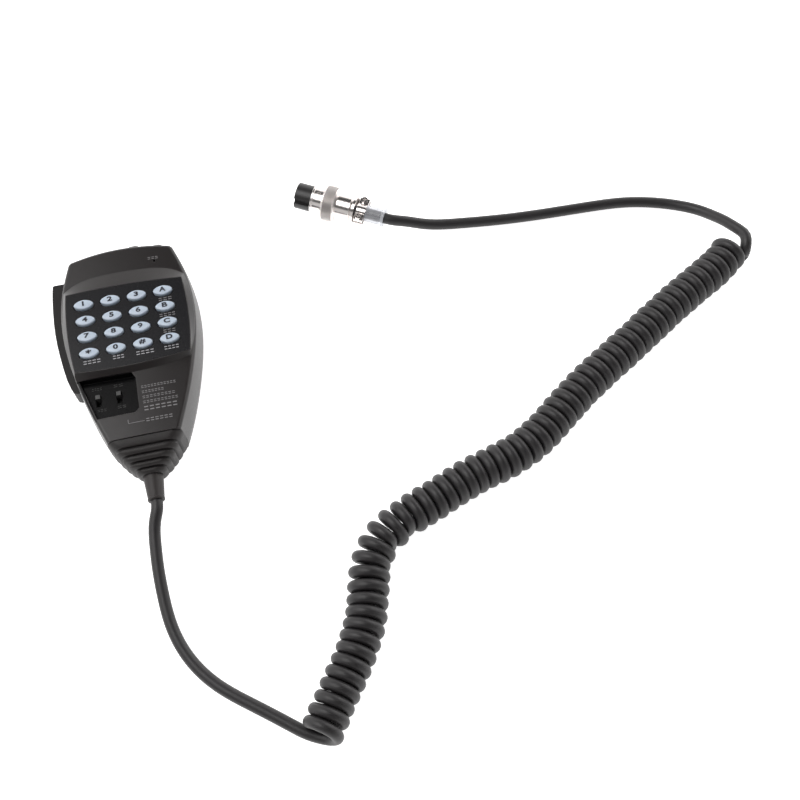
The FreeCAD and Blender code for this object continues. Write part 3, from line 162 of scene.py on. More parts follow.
def surface(name, color, rough, metallic=0.0, spec=0.5, sss=0.0,
            vary=0.15, vary_scale=180.0, rough_vary=0.06,
            grain=0.0, grain_scale=5000.0, grain_depth=0.00004,
            scratches=0.0, edge=0.0, wear=0.0, zone=None):
    """A procedural surface.

    vary, rough_vary: spread of the colour mottling and of the gloss.
    grain, scratches: strength of the moulded grain and of the fine streaks.
    edge, wear: radius that softens the edges, and how much they lighten.
    zone: a box with a different colour and gloss; used to paint shade into the face's recess.
    Noise scales are per metre and grain_depth is in metres.
    """
    material, shader = new_material(name)
    tree = material.node_tree
    place = add_node(tree, "ShaderNodeTexCoord").outputs["Object"]
    mottle = noise(tree, place, scale=vary_scale, detail=4.0)
    base = mix(tree, mottle, opaque(c * (1 - vary) for c in color),
               opaque(c * (1 + vary) for c in color), "RGBA")
    blotch = noise(tree, place, scale=vary_scale * 6, detail=3.0)
    gloss_range = (max(0.02, rough - rough_vary), min(1.0, rough + rough_vary))
    gloss = map_range(tree, blotch, target=gloss_range)
    feed(tree, shader, {"Metallic": metallic, "Specular IOR Level": spec})
    if sss:
        feed(tree, shader, {
            "Subsurface Weight": sss,
            "Subsurface Radius": (0.002, 0.002, 0.0025),
            "Subsurface Scale": 0.5,
        })
    normal = None
    if edge:
        bevel = add_node(tree, "ShaderNodeBevel", {"Radius": edge * MM}, samples=4)
        normal = bevel.outputs["Normal"]
    if wear:
        base = wear_edges(tree, base, color, normal, blotch, wear)
    if zone:
        # painted shade: inside the zone the colour is darkened and the reflection cut down
        mask = box_mask(tree, place, zone["box"])
        base = mix(tree, mask, base, opaque(zone["color"]), "RGBA")
        gloss = mix(tree, mask, gloss, zone["rough"])
        feed(tree, shader, {"Specular IOR Level": mix(tree, mask, spec, zone["spec"])})
    if grain:
        height = noise(tree, place, scale=grain_scale, detail=2.0)
        normal = bump(tree, height, grain, grain_depth, normal)
    if scratches:
        streaks = {"Vector": place, "Scale": (1.0, 14.0, 1.0)}
        stretched = add_node(tree, "ShaderNodeMapping", streaks).outputs["Vector"]
        height = noise(tree, stretched, scale=1500.0, detail=5.0)
        normal = bump(tree, height, scratches, 0.00002, normal)
    feed(tree, shader, {"Base Color": base, "Roughness": gloss, "Normal": normal})
    return material


# -------------------------------------------------------------------- materials
# Painted shade in the recess in the lower left of the handset's face: a darker colour and less
# reflection than the rest of the case.
WELL_SHADE = dict(box={"X": (-26.5, 0.6), "Y": (-46.2, -23.5), "Z": (20.0, 27.6)},
            color=(0.0035, 0.0035, 0.0038), rough=0.22, spec=0.16)

CASE = surface("case_plastic_mat", color=(0.0108, 0.0084, 0.0084), rough=0.34,
               grain=0.5, grain_scale=4200, vary=0.10, edge=0.55, wear=0.25, zone=WELL_SHADE)
PANEL = surface("panel_mat", color=(0.0058, 0.0058, 0.0074), rough=0.25, grain=0.06,
                grain_scale=6000, grain_depth=0.000005, vary=0.08, edge=0.2)
KEY = surface("key_mat", color=(0.50, 0.58, 0.675), rough=0.34, grain=0.05,
              grain_depth=0.00001, vary=0.05, vary_scale=500, sss=0.12, edge=0.35)
LEGEND = surface("legend_mat", color=(0.006, 0.008, 0.020), rough=0.45, vary=0.10)
PRINT = surface("print_mat", color=(0.36, 0.36, 0.38), rough=0.55,
                vary=0.25, vary_scale=2500)
PRINT_DIM = surface("print_dim_mat", color=(0.20, 0.195, 0.20), rough=0.6,
                    vary=0.25, vary_scale=2500)
PRINT_DARK = surface("print_dark_mat", color=(0.03, 0.03, 0.03), rough=0.6,
                     vary=0.25, vary_scale=2500)
BUTTON = surface("button_mat", color=(0.075, 0.072, 0.075), rough=0.30,
                 grain=0.3, vary_scale=900)
KNOB = surface("knob_mat", color=(0.07, 0.07, 0.07), rough=0.22, grain=0.2, edge=0.3)
BOOT = surface("boot_mat", color=(0.0125, 0.0102, 0.0100), rough=0.50, grain=0.7,
               grain_scale=3500, vary=0.14, spec=0.45, edge=0.3, wear=0.1)
RELIEF = surface("relief_mat", color=(0.0205, 0.0165, 0.0160), rough=0.52, grain=0.6,
                 grain_scale=3500, vary=0.14, spec=0.45, edge=0.3)
CORD = surface("cord_mat", color=(0.0150, 0.0138, 0.0148), rough=0.46, grain=0.4,
               grain_scale=2200, vary=0.16, vary_scale=90)
LEVER = surface("lever_mat", color=(0.0115, 0.0100, 0.0100), rough=0.42, grain=0.5,
                grain_scale=4200, vary=0.1, spec=0.3, edge=0.6, wear=0.15)
NICKEL = surface("nickel_mat", color=(0.86, 0.82, 0.80), rough=0.17, metallic=1.0,
                 vary=0.05, vary_scale=260, scratches=0.25, edge=0.15)


def knurl_material():
    """Nickel with painted shade in the valleys of the knurl, set by the mesh's crest attribute."""
    material = surface("knurl_mat", color=(0.90, 0.86, 0.84), rough=0.22, metallic=1.0,
                       vary=0.08, vary_scale=400, rough_vary=0.08, scratches=0.2)
    tree = material.node_tree
    shader = find_node(tree, "BSDF_PRINCIPLED")
    crest = add_node(tree, "ShaderNodeAttribute", attribute_name="crest")
    # painted shade: the valleys are darkened to 6 % of the nickel's colour, the crests keep it
    shade = map_range(tree, crest.outputs["Fac"], source=(0.0, 0.42), target=(0.06, 1.0))
    unshaded_color = shader.inputs["Base Color"].links[0].from_socket
    shaded_color = add_node(tree, "ShaderNodeVectorMath", {0: unshaded_color, "Scale": shade},
                    operation="SCALE")
    feed(tree, shader, {"Base Color": shaded_color.outputs["Vector"]})
    return material


def sleeve_material():
    """Clear vinyl: see-through face on, more solid at grazing angles."""
    material = surface("clear_vinyl_mat", color=(0.86, 0.88, 0.93), rough=0.14,
                       vary=0.03, rough_vary=0.04, vary_scale=300)
    tree = material.node_tree
    clear = add_node(tree, "ShaderNodeBsdfTransparent", {"Color": (0.93, 0.94, 0.96, 1)})
    facing = add_node(tree, "ShaderNodeLayerWeight", {"Blend": 0.35}).outputs["Facing"]
    body_share = map_range(tree, facing, target=(0.26, 0.75))
    vinyl = find_node(tree, "BSDF_PRINCIPLED").outputs[0]
    both = add_node(tree, "ShaderNodeMixShader",
                    {"Fac": body_share, 1: clear.outputs[0], 2: vinyl})
    feed(tree, find_node(tree, "OUTPUT_MATERIAL"), {"Surface": both.outputs[0]})
    return material


KNURL = knurl_material()
INSERT = surface("insert_mat", color=(0.016, 0.0148, 0.0150), rough=0.36,
                 grain=0.12, grain_depth=0.00001, edge=0.3)
BRASS = surface("brass_mat", color=(0.83, 0.66, 0.36), rough=0.22, metallic=1.0,
                vary=0.06, scratches=0.3, edge=0.05)
STEEL = surface("steel_mat", color=(0.55, 0.55, 0.56), rough=0.30, metallic=1.0,
                vary=0.08, scratches=0.4, edge=0.1)
SLEEVE = sleeve_material()
BOARD = surface("board_mat", color=(0.02, 0.12, 0.05), rough=0.35, grain=0.2)
CHIP = surface("chip_mat", color=(0.02, 0.02, 0.02), rough=0.5, grain=0.5)
MAT = surface("silicone_mat", color=(0.25, 0.26, 0.28), rough=0.55, grain=0.3)
LAMP = surface("lamp_mat", color=(0.8, 0.85, 0.7), rough=0.2, vary=0.03)
WIRE = surface("wire_mat", color=(0.30, 0.06, 0.05), rough=0.4, grain=0.2)

CAD_MATERIALS = {
    CASE: ["front_case", "rear_case"],
    LEVER: ["ptt_lever"],
    PANEL: ["key_panel"],
    KEY: ["key_" + key for key in KEYS],
    BUTTON: ["up_button", "down_button"],
    KNOB: ["lock_switch_knob", "mode_switch_knob"],
    BOOT: ["end_boot", "capsule_holder"],
    RELIEF: ["strain_relief"],
    CORD: ["cord_mic_end", "coil_cord", "cord_plug_end"],
    NICKEL: ["plug_barrel", "plug_clamp_body", "clamp_saddle", "clamp_screws",
             "insert_set_screw", "coupling_ring", "hanger_stud"],
    INSERT: ["plug_insert"],
    SLEEVE: ["cord_sleeve"],
    BRASS: ["plug_contacts"],
    STEEL: ["ring_snap_clip", "case_screws", "pcb_screws", "stud_nut", "ptt_pivot_pin",
            "ptt_return_spring", "quartz_crystal", "mic_capsule"],
    BOARD: ["main_pcb"],
    CHIP: ["control_chips", "filter_capacitors", "ptt_switch_body", "tact_switch_bodies",
           "slide_switch_bodies", "up_switch_plunger", "down_switch_plunger",
           "ptt_switch_plunger"],
    MAT: ["keypad_mat"],
    LAMP: ["backlight_leds"],
    WIRE: ["mic_end_wires"],
}


def paint_cad_pieces():
    for material, names in CAD_MATERIALS.items():
        for name in names:
            piece = nodes[name]
            if not piece.material_slots:
                piece.data.materials.append(material)
            for slot in piece.material_slots:
                slot.material = material


# ----------------------------------------------------------------- mesh helpers
def make(name, verts, faces, material, body=None, smooth=True):
    mesh = bpy.data.meshes.new(name)
    mesh.from_pydata([tuple(float(c) * MM for c in vert) for vert in verts], [], faces)
    mesh.validate()
    if smooth:
        mesh.polygons.foreach_set("use_smooth", [True] * len(mesh.polygons))
    mesh.materials.append(material)
    piece = bpy.data.objects.new(name, mesh)
    scene.collection.objects.link(piece)
    if body:
        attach(piece, body)
    return piece


def box_mm(node):
    """Centre, low corner and high corner of a CAD piece."""
    low, high = (np.array(corner, float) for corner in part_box(node))
    return (low + high) / 2 / MM, low / MM, high / MM


def skin(count, around, wrap=False):
    """Quads between neighbouring loops of points; wrap joins the last to the first."""
    faces = []
    for i in range(count if wrap else count - 1):
        near, far = i * around, (i + 1) % count * around
        for k in range(around):
            k2 = (k + 1) % around
            faces.append((near + k, near + k2, far + k2, far + k))
    return faces


def face_outward(piece):
    bm = bmesh.new()
    bm.from_mesh(piece.data)
    bmesh.ops.recalc_face_normals(bm, faces=bm.faces)
    bm.to_mesh(piece.data)
    bm.free()


def closed_skin(name, loops, material, body):
    """A skin over loops of equally many points, with a fan closing each end."""
    around = len(loops[0])
    verts = [point for loop in loops for point in loop]
    faces = skin(len(loops), around)
    for i, flip in ((0, True), (len(loops) - 1, False)):
        centre = len(verts)
        verts.append(tuple(np.mean(np.array(loops[i]), axis=0)))
        for k in range(around):
            fan = (i * around + k, i * around + (k + 1) % around, centre)
            faces.append(fan[::-1] if flip else fan)
    piece = make(name, verts, faces, material, body)
    face_outward(piece)
    return piece


def spline(points):
    """A natural cubic through points; returns it as a function, and its knots."""
    points = np.asarray(points, float)
    span = np.linalg.norm(np.diff(points, axis=0), axis=1)
    knots = np.r_[0, np.cumsum(span)]
    count = len(points)
    system = np.zeros((count, count))
    rhs = np.zeros((count, points.shape[1]))
    system[0, 0] = system[-1, -1] = 1
    for i in range(1, count - 1):
        system[i, i - 1:i + 2] = span[i - 1], 2 * (span[i - 1] + span[i]), span[i]
        rhs[i] = 6 * ((points[i + 1] - points[i]) / span[i]
                      - (points[i] - points[i - 1]) / span[i - 1])
    curving = np.linalg.solve(system, rhs)

    def at(distance):
        distance = np.asarray(distance, float)
        i = np.clip(np.searchsorted(knots, distance, side="right") - 1, 0, count - 2)
        left = (knots[i + 1] - distance)[:, None]
        done = (distance - knots[i])[:, None]
        width = span[i][:, None]
        return ((curving[i] * left ** 3 + curving[i + 1] * done ** 3) / (6 * width)
                + (points[i] / width - curving[i] * width / 6) * left
                + (points[i + 1] / width - curving[i + 1] * width / 6) * done)

    return at, knots


def unit_tangents(path):
    tangents = np.gradient(path, axis=0)
    return tangents / np.linalg.norm(tangents, axis=1)[:, None]


def tube(path, radius, sides=18):
    """A capped tube round a path, its frame carried along so that it doesn't twist."""
    tangents = unit_tangents(path)
    steep = abs(tangents[0, 2]) >= 0.9
    normal = np.cross(tangents[0], np.array([1.0, 0, 0] if steep else [0, 0, 1.0]))
    normal /= np.linalg.norm(normal)
    angles = np.linspace(0, 2 * math.pi, sides, endpoint=False)
    cosines, sines = np.cos(angles)[:, None], np.sin(angles)[:, None]
    verts = []
    for point, tangent in zip(path, tangents):
        normal = normal - tangent * (normal @ tangent)
        normal /= np.linalg.norm(normal)
        verts.append(point + radius * (cosines * normal + sines * np.cross(tangent, normal)))
    faces = skin(len(path), sides)
    faces.append(tuple(reversed(range(sides))))
    faces.append(tuple((len(path) - 1) * sides + k for k in range(sides)))
    return np.concatenate(verts), faces


# ------------------------------------------------------------------------- cord
# The coil's axis on the floor, from the handset's end: x, y, distance between turns.
COIL_AXIS = [
    (52.2, -197.21, 5.73), (57.69, -188.83, 5.73), (63.47, -180.67, 5.73),
    (69.3, -172.53, 5.73), (74.6, -164.33, 5.73), (79.0, -155.64, 5.73),
    (82.2, -146.5, 5.73), (84.6, -137.3, 6.15), (88.3, -128.1, 6.35),
    (94.6, -120.3, 6.35), (103.0, -114.9, 6.2), (111.5, -111.2, 5.85),
    (120.3, -107.94, 5.73), (129.55, -104.29, 5.73), (138.92, -100.74, 5.73),
    (148.5, -98.05, 5.73), (158.14, -95.35, 5.73), (167.45, -91.64, 5.73),
    (176.08, -86.68, 5.73), (184.23, -80.86, 5.73), (192.19, -74.83, 5.73),
    (200.38, -69.01, 5.73), (208.75, -63.62, 5.73), (217.33, -58.46, 5.73),
    (225.92, -53.35, 5.73), (234.45, -48.14, 5.73), (242.93, -42.86, 5.73),
    (251.48, -37.59, 5.73), (260.08, -32.52, 5.73), (268.81, -27.66, 5.73),
    (277.59, -22.88, 5.78), (286.2, -17.8, 5.9), (295.97, -9.88, 6.25),
]
# The straight runs, x, y, z: handset to coil, then coil to plug.
MIC_RUN = [
    (-1.8, -91.7, 14.0), (-3.7, -102.4, 11.2), (-4.2, -113.7, 8.9),
    (-3.9, -125.0, 6.8), (-2.6, -137.0, 4.9), (0.6, -148.0, 3.35),
    (6.5, -158.8, 2.55), (15.0, -168.6, 2.47), (24.5, -176.6, 2.45),
    (33.8, -184.0, 2.45), (41.5, -190.3, 2.45), (46.2, -193.9, 2.45),
]
PLUG_RUN = [
    (300.9, -13.3, 12.9), (301.9, -10.3, 14.35), (302.35, -7.2, 14.5),
    (301.4, -3.8, 13.8), (299.5, -0.1, 12.8), (297.1, 4.9, 11.0),
    (293.5, 11.3, 8.0), (289.4, 16.9, 5.5), (284.5, 21.0, 4.0),
    (279.1, 24.3, 3.0), (267.2, 28.9, 2.5), (254.7, 31.7, 2.45),
    (236.7, 33.1, 2.45), (214.5, 33.8, 2.45), (192.5, 35.0, 2.45),
    (168.8, 37.3, 2.75), (150.0, 39.4, 5.2), (140.4, 41.3, 7.9),
]
RUN_REST_Z = 2.45  # height of the runs above where they lie on the floor
TURNS, PER_TURN = 56.25, 28  # turns of the coil, and points in each
COIL_R = 6.62
LEAN = 1.1  # how far a turn leans along the coil
PULL = 2.4  # how far every other turn draws in at the bend
BEND = (13.0, 18.0)  # the turns between which the coil bends


def coil_path():
    """Centre of the coiled cord: turns that lean along it and draw in at the bend."""
    axis_at, knots = spline([(x, y) for x, y, _ in COIL_AXIS])
    fine = np.linspace(0, knots[-1], 12001)
    axis = axis_at(fine)
    steps = np.linalg.norm(np.diff(axis, axis=0), axis=1)
    pitch = np.interp(fine, knots, [p for _, _, p in COIL_AXIS])
    phase = np.r_[0, np.cumsum(steps / ((pitch[1:] + pitch[:-1]) / 2))]
    phase *= TURNS / phase[-1]
    tangents = unit_tangents(axis)
    normals = np.column_stack([tangents[:, 1], -tangents[:, 0]])

    turns = np.arange(0, int(TURNS * PER_TURN) + 1) / PER_TURN
    centre, across, ahead = (
        np.column_stack([np.interp(turns, phase, table[:, k]) for k in (0, 1)])
        for table in (axis, normals, tangents))
    angle = -math.pi / 2 + 2 * math.pi * turns
    at_bend = np.clip(turns - BEND[0], 0, 1) * np.clip(BEND[1] - turns, 0, 1)
    every_other = (1 - np.cos(math.pi * (turns - 0.25))) / 2
    ends = np.clip(np.minimum(turns, TURNS - turns), 0, 1)
    # small, steady differences from turn to turn, as a used cord has
    uneven = (0.10 * np.sin(1.7 * turns) + 0.07 * np.sin(4.1 * turns + 1.0)) * ends
    drawn_in = PULL * at_bend * every_other * np.maximum(0, np.cos(angle)) ** 2
    radius = COIL_R + np.minimum(uneven, 0.05) - drawn_in
    flat = (centre + across * (radius * np.cos(angle))[:, None]
            + ahead * (LEAN * ends * np.cos(angle))[:, None])
    return np.column_stack([flat, COIL_R + CORD_R + COIL_R * np.sin(angle)])


def lifted(run):
    """Raise the low part of a run so that the cord's full radius clears the floor."""
    lift = CORD_R - RUN_REST_Z
    return [(x, y, z + lift * max(0.0, min(1.0, (6.0 - z) / 3.0))) for x, y, z in run]


def run_path(points, skip_first, skip_last, step=2.0):
    """A smooth path through points, leaving out its first and last stretches."""
    at, knots = spline(points)
    start, end = knots[skip_first], knots[len(knots) - 1 - skip_last]
    return at(np.linspace(start, end, int((end - start) / step) + 2))


def build_cord():
    # each run is drawn with points of its neighbour, so that the parts meet smoothly
    coil = coil_path()
    handset_end = [(0, y, CORD_EXIT_Z) for y in (-60.0, -72.0, -84.6, -86.1)]
    mic_path = run_path(np.vstack([handset_end, lifted(MIC_RUN), coil[:10:3]]), 0, 3)
    plug_end = [PLUG_POS + PLUG_DIR * x
                for x in (PLUG_CABLE_X + 2.5, PLUG_CABLE_X, 36.0, 24.0)]
    plug_path = run_path(np.vstack([coil[-10::3], lifted(PLUG_RUN), plug_end]), 3, 0)

    verts, faces = tube(np.vstack([mic_path[:-1], coil]), CORD_R)
    cord = make("coiled_cord", verts, faces, CORD)
    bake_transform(cord)
    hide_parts("coil_cord", "cord_mic_end")
    # the run to the plug doubles back beside the coil, so it moves whole with the plug
    verts, faces = tube(plug_path, CORD_R)
    plug_run = make("cord_plug_run", verts, faces, CORD, "plug")
    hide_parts("cord_plug_end")


# --------------------------------------------------------------- printed marks
CROWN_R, CROWN_TOP = 281.0, 28.6  # the handset's face is arched across X
PANEL_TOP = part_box("key_panel")[1].z / MM
WELL_FLOOR = 24.0
MARK_LEVELS = (-0.12, 0.05)  # bottom and top of a mark about its surface
MARK_STEP = 0.8  # about how far apart a mark's points are across X


def crown(x):
    return CROWN_TOP - (CROWN_R - math.sqrt(CROWN_R ** 2 - x * x))


def panel(x):
    return PANEL_TOP


def well(x):
    return WELL_FLOOR


# Rows: x0, x1, y, height, number of dashes. Bars: x0, y0, x1, y1.
MARKS = [
    dict(name="panel_marks_lower", material=PRINT, slot="panel_plastic", surface_z=panel,
         rows=[(-21.9, -14.3, -17.3, 1.75, 4), (-8.5, -3.6, -17.3, 1.75, 3),
               (2.1, 10.0, -17.4, 1.75, 4), (14.9, 21.4, -17.4, 1.75, 4)]),
    dict(name="panel_marks_right", material=PRINT_DIM, slot="panel_plastic", surface_z=panel,
         rows=[(15.5, 21.4, 8.45, 1.5, 3), (14.9, 22.0, -0.1, 1.5, 4),
               (15.5, 21.0, -8.65, 1.5, 3)]),
    dict(name="face_marks_small", material=PRINT_DIM, slot="case_plastic", surface_z=crown,
         rows=[(1.9, 17.3, -33.7, 1.15, 11), (1.9, 11.6, -36.3, 1.15, 7),
               (1.9, 16.3, -38.9, 1.15, 9), (1.9, 17.4, -41.4, 1.15, 10)]),
    dict(name="face_marks_large", material=PRINT_DIM, slot="case_plastic", surface_z=crown,
         rows=[(2.0, 16.6, -44.6, 2.1, 6), (2.2, 13.8, -50.3, 1.5, 6)],
         bars=[(-5.7, -50.6, 1.4, -50.35), (-5.9, -50.6, -5.65, -48.6)]),
    dict(name="mic_mark", material=PRINT_DIM, slot="case_plastic", surface_z=crown,
         rows=[(12.9, 17.6, 33.55, 1.25, 3)]),
    dict(name="well_marks", material=PRINT_DARK, slot="case_plastic", surface_z=well,
         rows=[(-20.9, -16.4, -28.3, 1.2, 4), (-11.0, -7.0, -28.3, 1.2, 2),
               (-19.4, -15.4, -39.2, 1.2, 3), (-10.2, -6.6, -39.2, 1.2, 2)]),
]


def dash_bars(x0, x1, y, height, count):
    """The bars of a row of short double strokes."""
    gap = 0.32 * (x1 - x0) / count
    width = (x1 - x0 + gap) / count - gap
    stroke = 0.26 * height
    top, bottom = y + height / 2, y - height / 2
    bars = []
    for i in range(count):
        left = x0 + i * (width + gap)
        bars.append((left, top - stroke, left + width, top))
        bars.append((left, bottom, left + width, bottom + stroke))
    return bars


def add_bar(verts, faces, bar, surface_z):
    """A thin slab that follows the surface under it."""
    x0, y0, x1, y1 = bar
    steps = max(1, int((x1 - x0) / MARK_STEP))
    base, row = len(verts), steps + 1
    level = 2 * row
    for dz in MARK_LEVELS:
        for y in (y0, y1):
            for i in range(row):
                x = x0 + (x1 - x0) * i / steps
                verts.append((x, y, surface_z(x) + dz))
    for i in range(steps):
        a, b = base + i, base + i + 1
        c, d = b + row, a + row
        faces.append((a, d, c, b))
        faces.append((a + level, b + level, c + level, d + level))
        faces.append((a, b, b + level, a + level))
        faces.append((c, d, d + level, c + level))
    a, d = base, base + row
    faces.append((d, a, a + level, d + level))
    a, d = base + steps, base + row + steps
    faces.append((a, d, d + level, a + level))


def build_marks(name, material, slot, surface_z, rows, bars=()):
    verts, faces = [], []
    for bar in [bar for row in rows for bar in dash_bars(*row)] + list(bars):
        add_bar(verts, faces, bar, surface_z)
    make(name, verts, faces, material, "handset", smooth=False)


# ------------------------------------------------------------------ key legends
GLYPHS = {"a": "A", "b": "B", "c": "C", "d": "D", "star": "*", "hash": "#"}
LEGEND_H, STAR_H = 2.45, 2.1
LEGEND_MAX_W = 2.95
LEGEND_STRETCH = 1.42  # widening of the font's own letters
LEGEND_UP = 0.25  # shift from the key's centre towards +Y
LEGEND_RISE, LEGEND_SINK = 0.03, 0.35  # above and below the key's top
BOLD, LESS_BOLD = 0.042, 0.028  # outline offset, in font sizes


def glyph_mesh(text, bold):
    curve = bpy.data.curves.new("glyph", "FONT")
    curve.body = text
    curve.size = 1.0
    curve.offset = bold
    curve.extrude = 0.02
    curve.resolution_u = 6
    letter = bpy.data.objects.new("glyph", curve)
    scene.collection.objects.link(letter)
    bpy.context.view_layer.update()
    depsgraph = bpy.context.evaluated_depsgraph_get()
    mesh = bpy.data.meshes.new_from_object(letter.evaluated_get(depsgraph))
    bpy.data.objects.remove(letter)
    bpy.data.curves.remove(curve)
    return mesh


def build_legend(key):
    centre, _, high = box_mm("key_" + key)
    bold = LESS_BOLD if key in ("6", "9", "star") else BOLD
    mesh = glyph_mesh(GLYPHS.get(key, key), bold)
    points = np.array([vert.co for vert in mesh.vertices])
    low_end, high_end = points.min(0), points.max(0)
    extent = high_end - low_end
    height = STAR_H if key == "star" else LEGEND_H
    width = min(LEGEND_MAX_W, extent[0] * (height / extent[1]) * LEGEND_STRETCH)
    middle = (low_end + high_end) / 2
    points[:, 0] = (points[:, 0] - middle[0]) * width / extent[0] + centre[0]
    points[:, 1] = (points[:, 1] - middle[1]) * height / extent[1] + centre[1] + LEGEND_UP
    on_top = points[:, 2] > 0
    points[:, 2] = np.where(on_top, high[2] + LEGEND_RISE, high[2] - LEGEND_SINK)
    mesh.vertices.foreach_set("co", (points * MM).astype(np.float32).ravel())
    mesh.materials.clear()
    mesh.materials.append(LEGEND)
    mesh.update()
    legend = bpy.data.objects.new("legend_" + key, mesh)
    scene.collection.objects.link(legend)
    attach(legend, "key_" + key + "_body")


# ------------------------------------------------------------------------- keys
# Half width and half height of each part of a key, as seen from above.
KEY_STEM = (2.4, 2.2)
KEY_FLANGE = (5.4, 3.5)
KEY_CAP = (4.42, 2.42)
STEM_TOP, FLANGE_TOP = 4.6, 5.4  # above the key's base
KEY_STEP = 0.05  # rise across the ledge above the stem and above the flange
KEY_ROUND_IN, KEY_ROUND_H = 0.62, 0.5  # rounding of the cap's edge
KEY_DOME = 0.22  # rise of the cap's top inside the rounding


def key_oval(centre, z, half, count=72):
    """The pointed oval of a key: rounder than a lens, sharper at the sides than an ellipse."""
    loop = []
    for k in range(count):
        angle = 2 * math.pi * k / count
        c, s = math.cos(angle), math.sin(angle)
        bulge = math.copysign(max(0.0, 1 - abs(c) ** 1.75) ** 0.57, s)
        loop.append((centre[0] + half[0] * c, centre[1] + half[1] * bulge, z))
    return loop


def build_key(key):
    centre, low, high = box_mm("key_" + key)
    base, top = low[2], high[2]
    sections = [
        (base, KEY_STEM), (base + STEM_TOP, KEY_STEM),
        (base + STEM_TOP + KEY_STEP, KEY_FLANGE), (base + FLANGE_TOP, KEY_FLANGE),
        (base + FLANGE_TOP + KEY_STEP, KEY_CAP), (top - 1.0, KEY_CAP),
    ]
    for angle in np.linspace(0, math.pi / 2, 8):
        cut = KEY_ROUND_IN * (1 - math.cos(angle))
        z = top - KEY_DOME - KEY_ROUND_H + KEY_ROUND_H * math.sin(angle)
        sections.append((z, [half - cut for half in KEY_CAP]))
    for share in (0.85, 0.7, 0.5, 0.3, 0.12):
        half = [(half - KEY_ROUND_IN) * share for half in KEY_CAP]
        sections.append((top - KEY_DOME * share * share, half))
    loops = [key_oval(centre, z, half) for z, half in sections]
    cap = closed_skin("key_cap_" + key, loops, KEY, "key_" + key + "_body")
    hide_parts("key_" + key)


# ------------------------------------------------------------ up, down buttons
BUTTON_FLANGE = (3.75, 2.35)  # half width along X, half height along Z
BUTTON_CAP = (2.95, 1.95)
FLANGE_DEPTH = 0.55
BUTTON_DOME = 1.7  # length of the rounded end
BUTTON_POWER = 3.2  # squareness of the outline; 2 is an ellipse
BUTTON_EXTRA = {"up_button": 0.7, "down_button": 0.2}  # added to the CAD length


def button_oval(centre, y, half, power=BUTTON_POWER, count=48):
    loop = []
    for k in range(count):
        angle = 2 * math.pi * k / count
        c, s = math.cos(angle), math.sin(angle)
        loop.append((centre[0] + half[0] * math.copysign(abs(c) ** (2 / power), c), y,
                     centre[2] + half[1] * math.copysign(abs(s) ** (2 / power), s)))
    return loop


def build_button(node):
    centre, low, high = box_mm(node)
    base, tip = low[1], high[1] + BUTTON_EXTRA[node]
    loops = [
        button_oval(centre, base, BUTTON_FLANGE),
        button_oval(centre, base + FLANGE_DEPTH, BUTTON_FLANGE),
        button_oval(centre, base + FLANGE_DEPTH + 0.05, BUTTON_CAP),
    ]
    for t in np.linspace(0, 1, 12):
        y = tip - BUTTON_DOME + BUTTON_DOME * math.sin(t * math.pi / 2)
        shrink = math.cos(t * math.pi / 2 * 0.98)
        half = (BUTTON_CAP[0] * (0.62 + 0.38 * shrink), BUTTON_CAP[1] * (0.25 + 0.75 * shrink))
        loops.append(button_oval(centre, y, half, power=BUTTON_POWER - t))
    cap = closed_skin(node + "_cap", loops, BUTTON, node + "_body")
    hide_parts(node)


# --------------------------------------------------------------------- end boot
# Columns: y, half width, half thickness, centre z, corner radius.
BOOT_STATIONS = np.array([
    (-57.0, 17.0, 11.6, 16.2, 5.0), (-60.6, 14.9, 10.7, 16.1, 5.0),
    (-62.5, 13.7, 10.1, 16.0, 5.0), (-66.0, 11.3, 8.9, 15.8, 4.9),
    (-69.0, 8.9, 7.5, 15.6, 4.6), (-71.5, 6.4, 6.1, 15.5, 4.4),
    (-72.5, 5.6, 5.6, CORD_EXIT_Z, 4.2),
])
# The ribs between the grooves: y at the start and at the end of each.
BOOT_PLATES = [(-57.03, -60.6), (-61.8, -64.0), (-65.0, -67.0), (-68.0, -69.8), (-70.7, -72.5)]
PLATE_EDGE_R, FIRST_EDGE_R = 0.45, 0.12
PLATE_BULGE = 0.10
GROOVE = 1.5
BOOT_HOLE_R = 4.55
SIDE_POINTS = CORNER_POINTS = 10


def boot_loop(y, inset):
    """The boot's rounded rectangle at y, drawn in by inset."""
    width, thick, mid_z, r = (np.interp(-y, -BOOT_STATIONS[:, 0], column)
                              for column in BOOT_STATIONS[:, 1:].T)
    width, thick = width - inset, thick - inset
    r = min(max(r - inset, 1.0), width - 0.3, thick - 0.3)
    x, z = width - r, thick - r
    corners = [np.array(c) for c in ((x, mid_z - z), (x, mid_z + z), (-x, mid_z + z), (-x, mid_z - z))]
    loop = []
    for i, corner in enumerate(corners):
        for k in range(CORNER_POINTS):
            angle = math.radians(90.0 * (i - 1) + 90.0 * k / CORNER_POINTS)
            loop.append((corner[0] + r * math.cos(angle), y, corner[1] + r * math.sin(angle)))
        angle = math.radians(90 * i)
        start = corner + r * np.array((math.cos(angle), math.sin(angle)))
        side = corners[(i + 1) % 4] - corner
        for k in range(SIDE_POINTS):
            point = start + side * k / SIDE_POINTS
            loop.append((point[0], y, point[1]))
    return loop


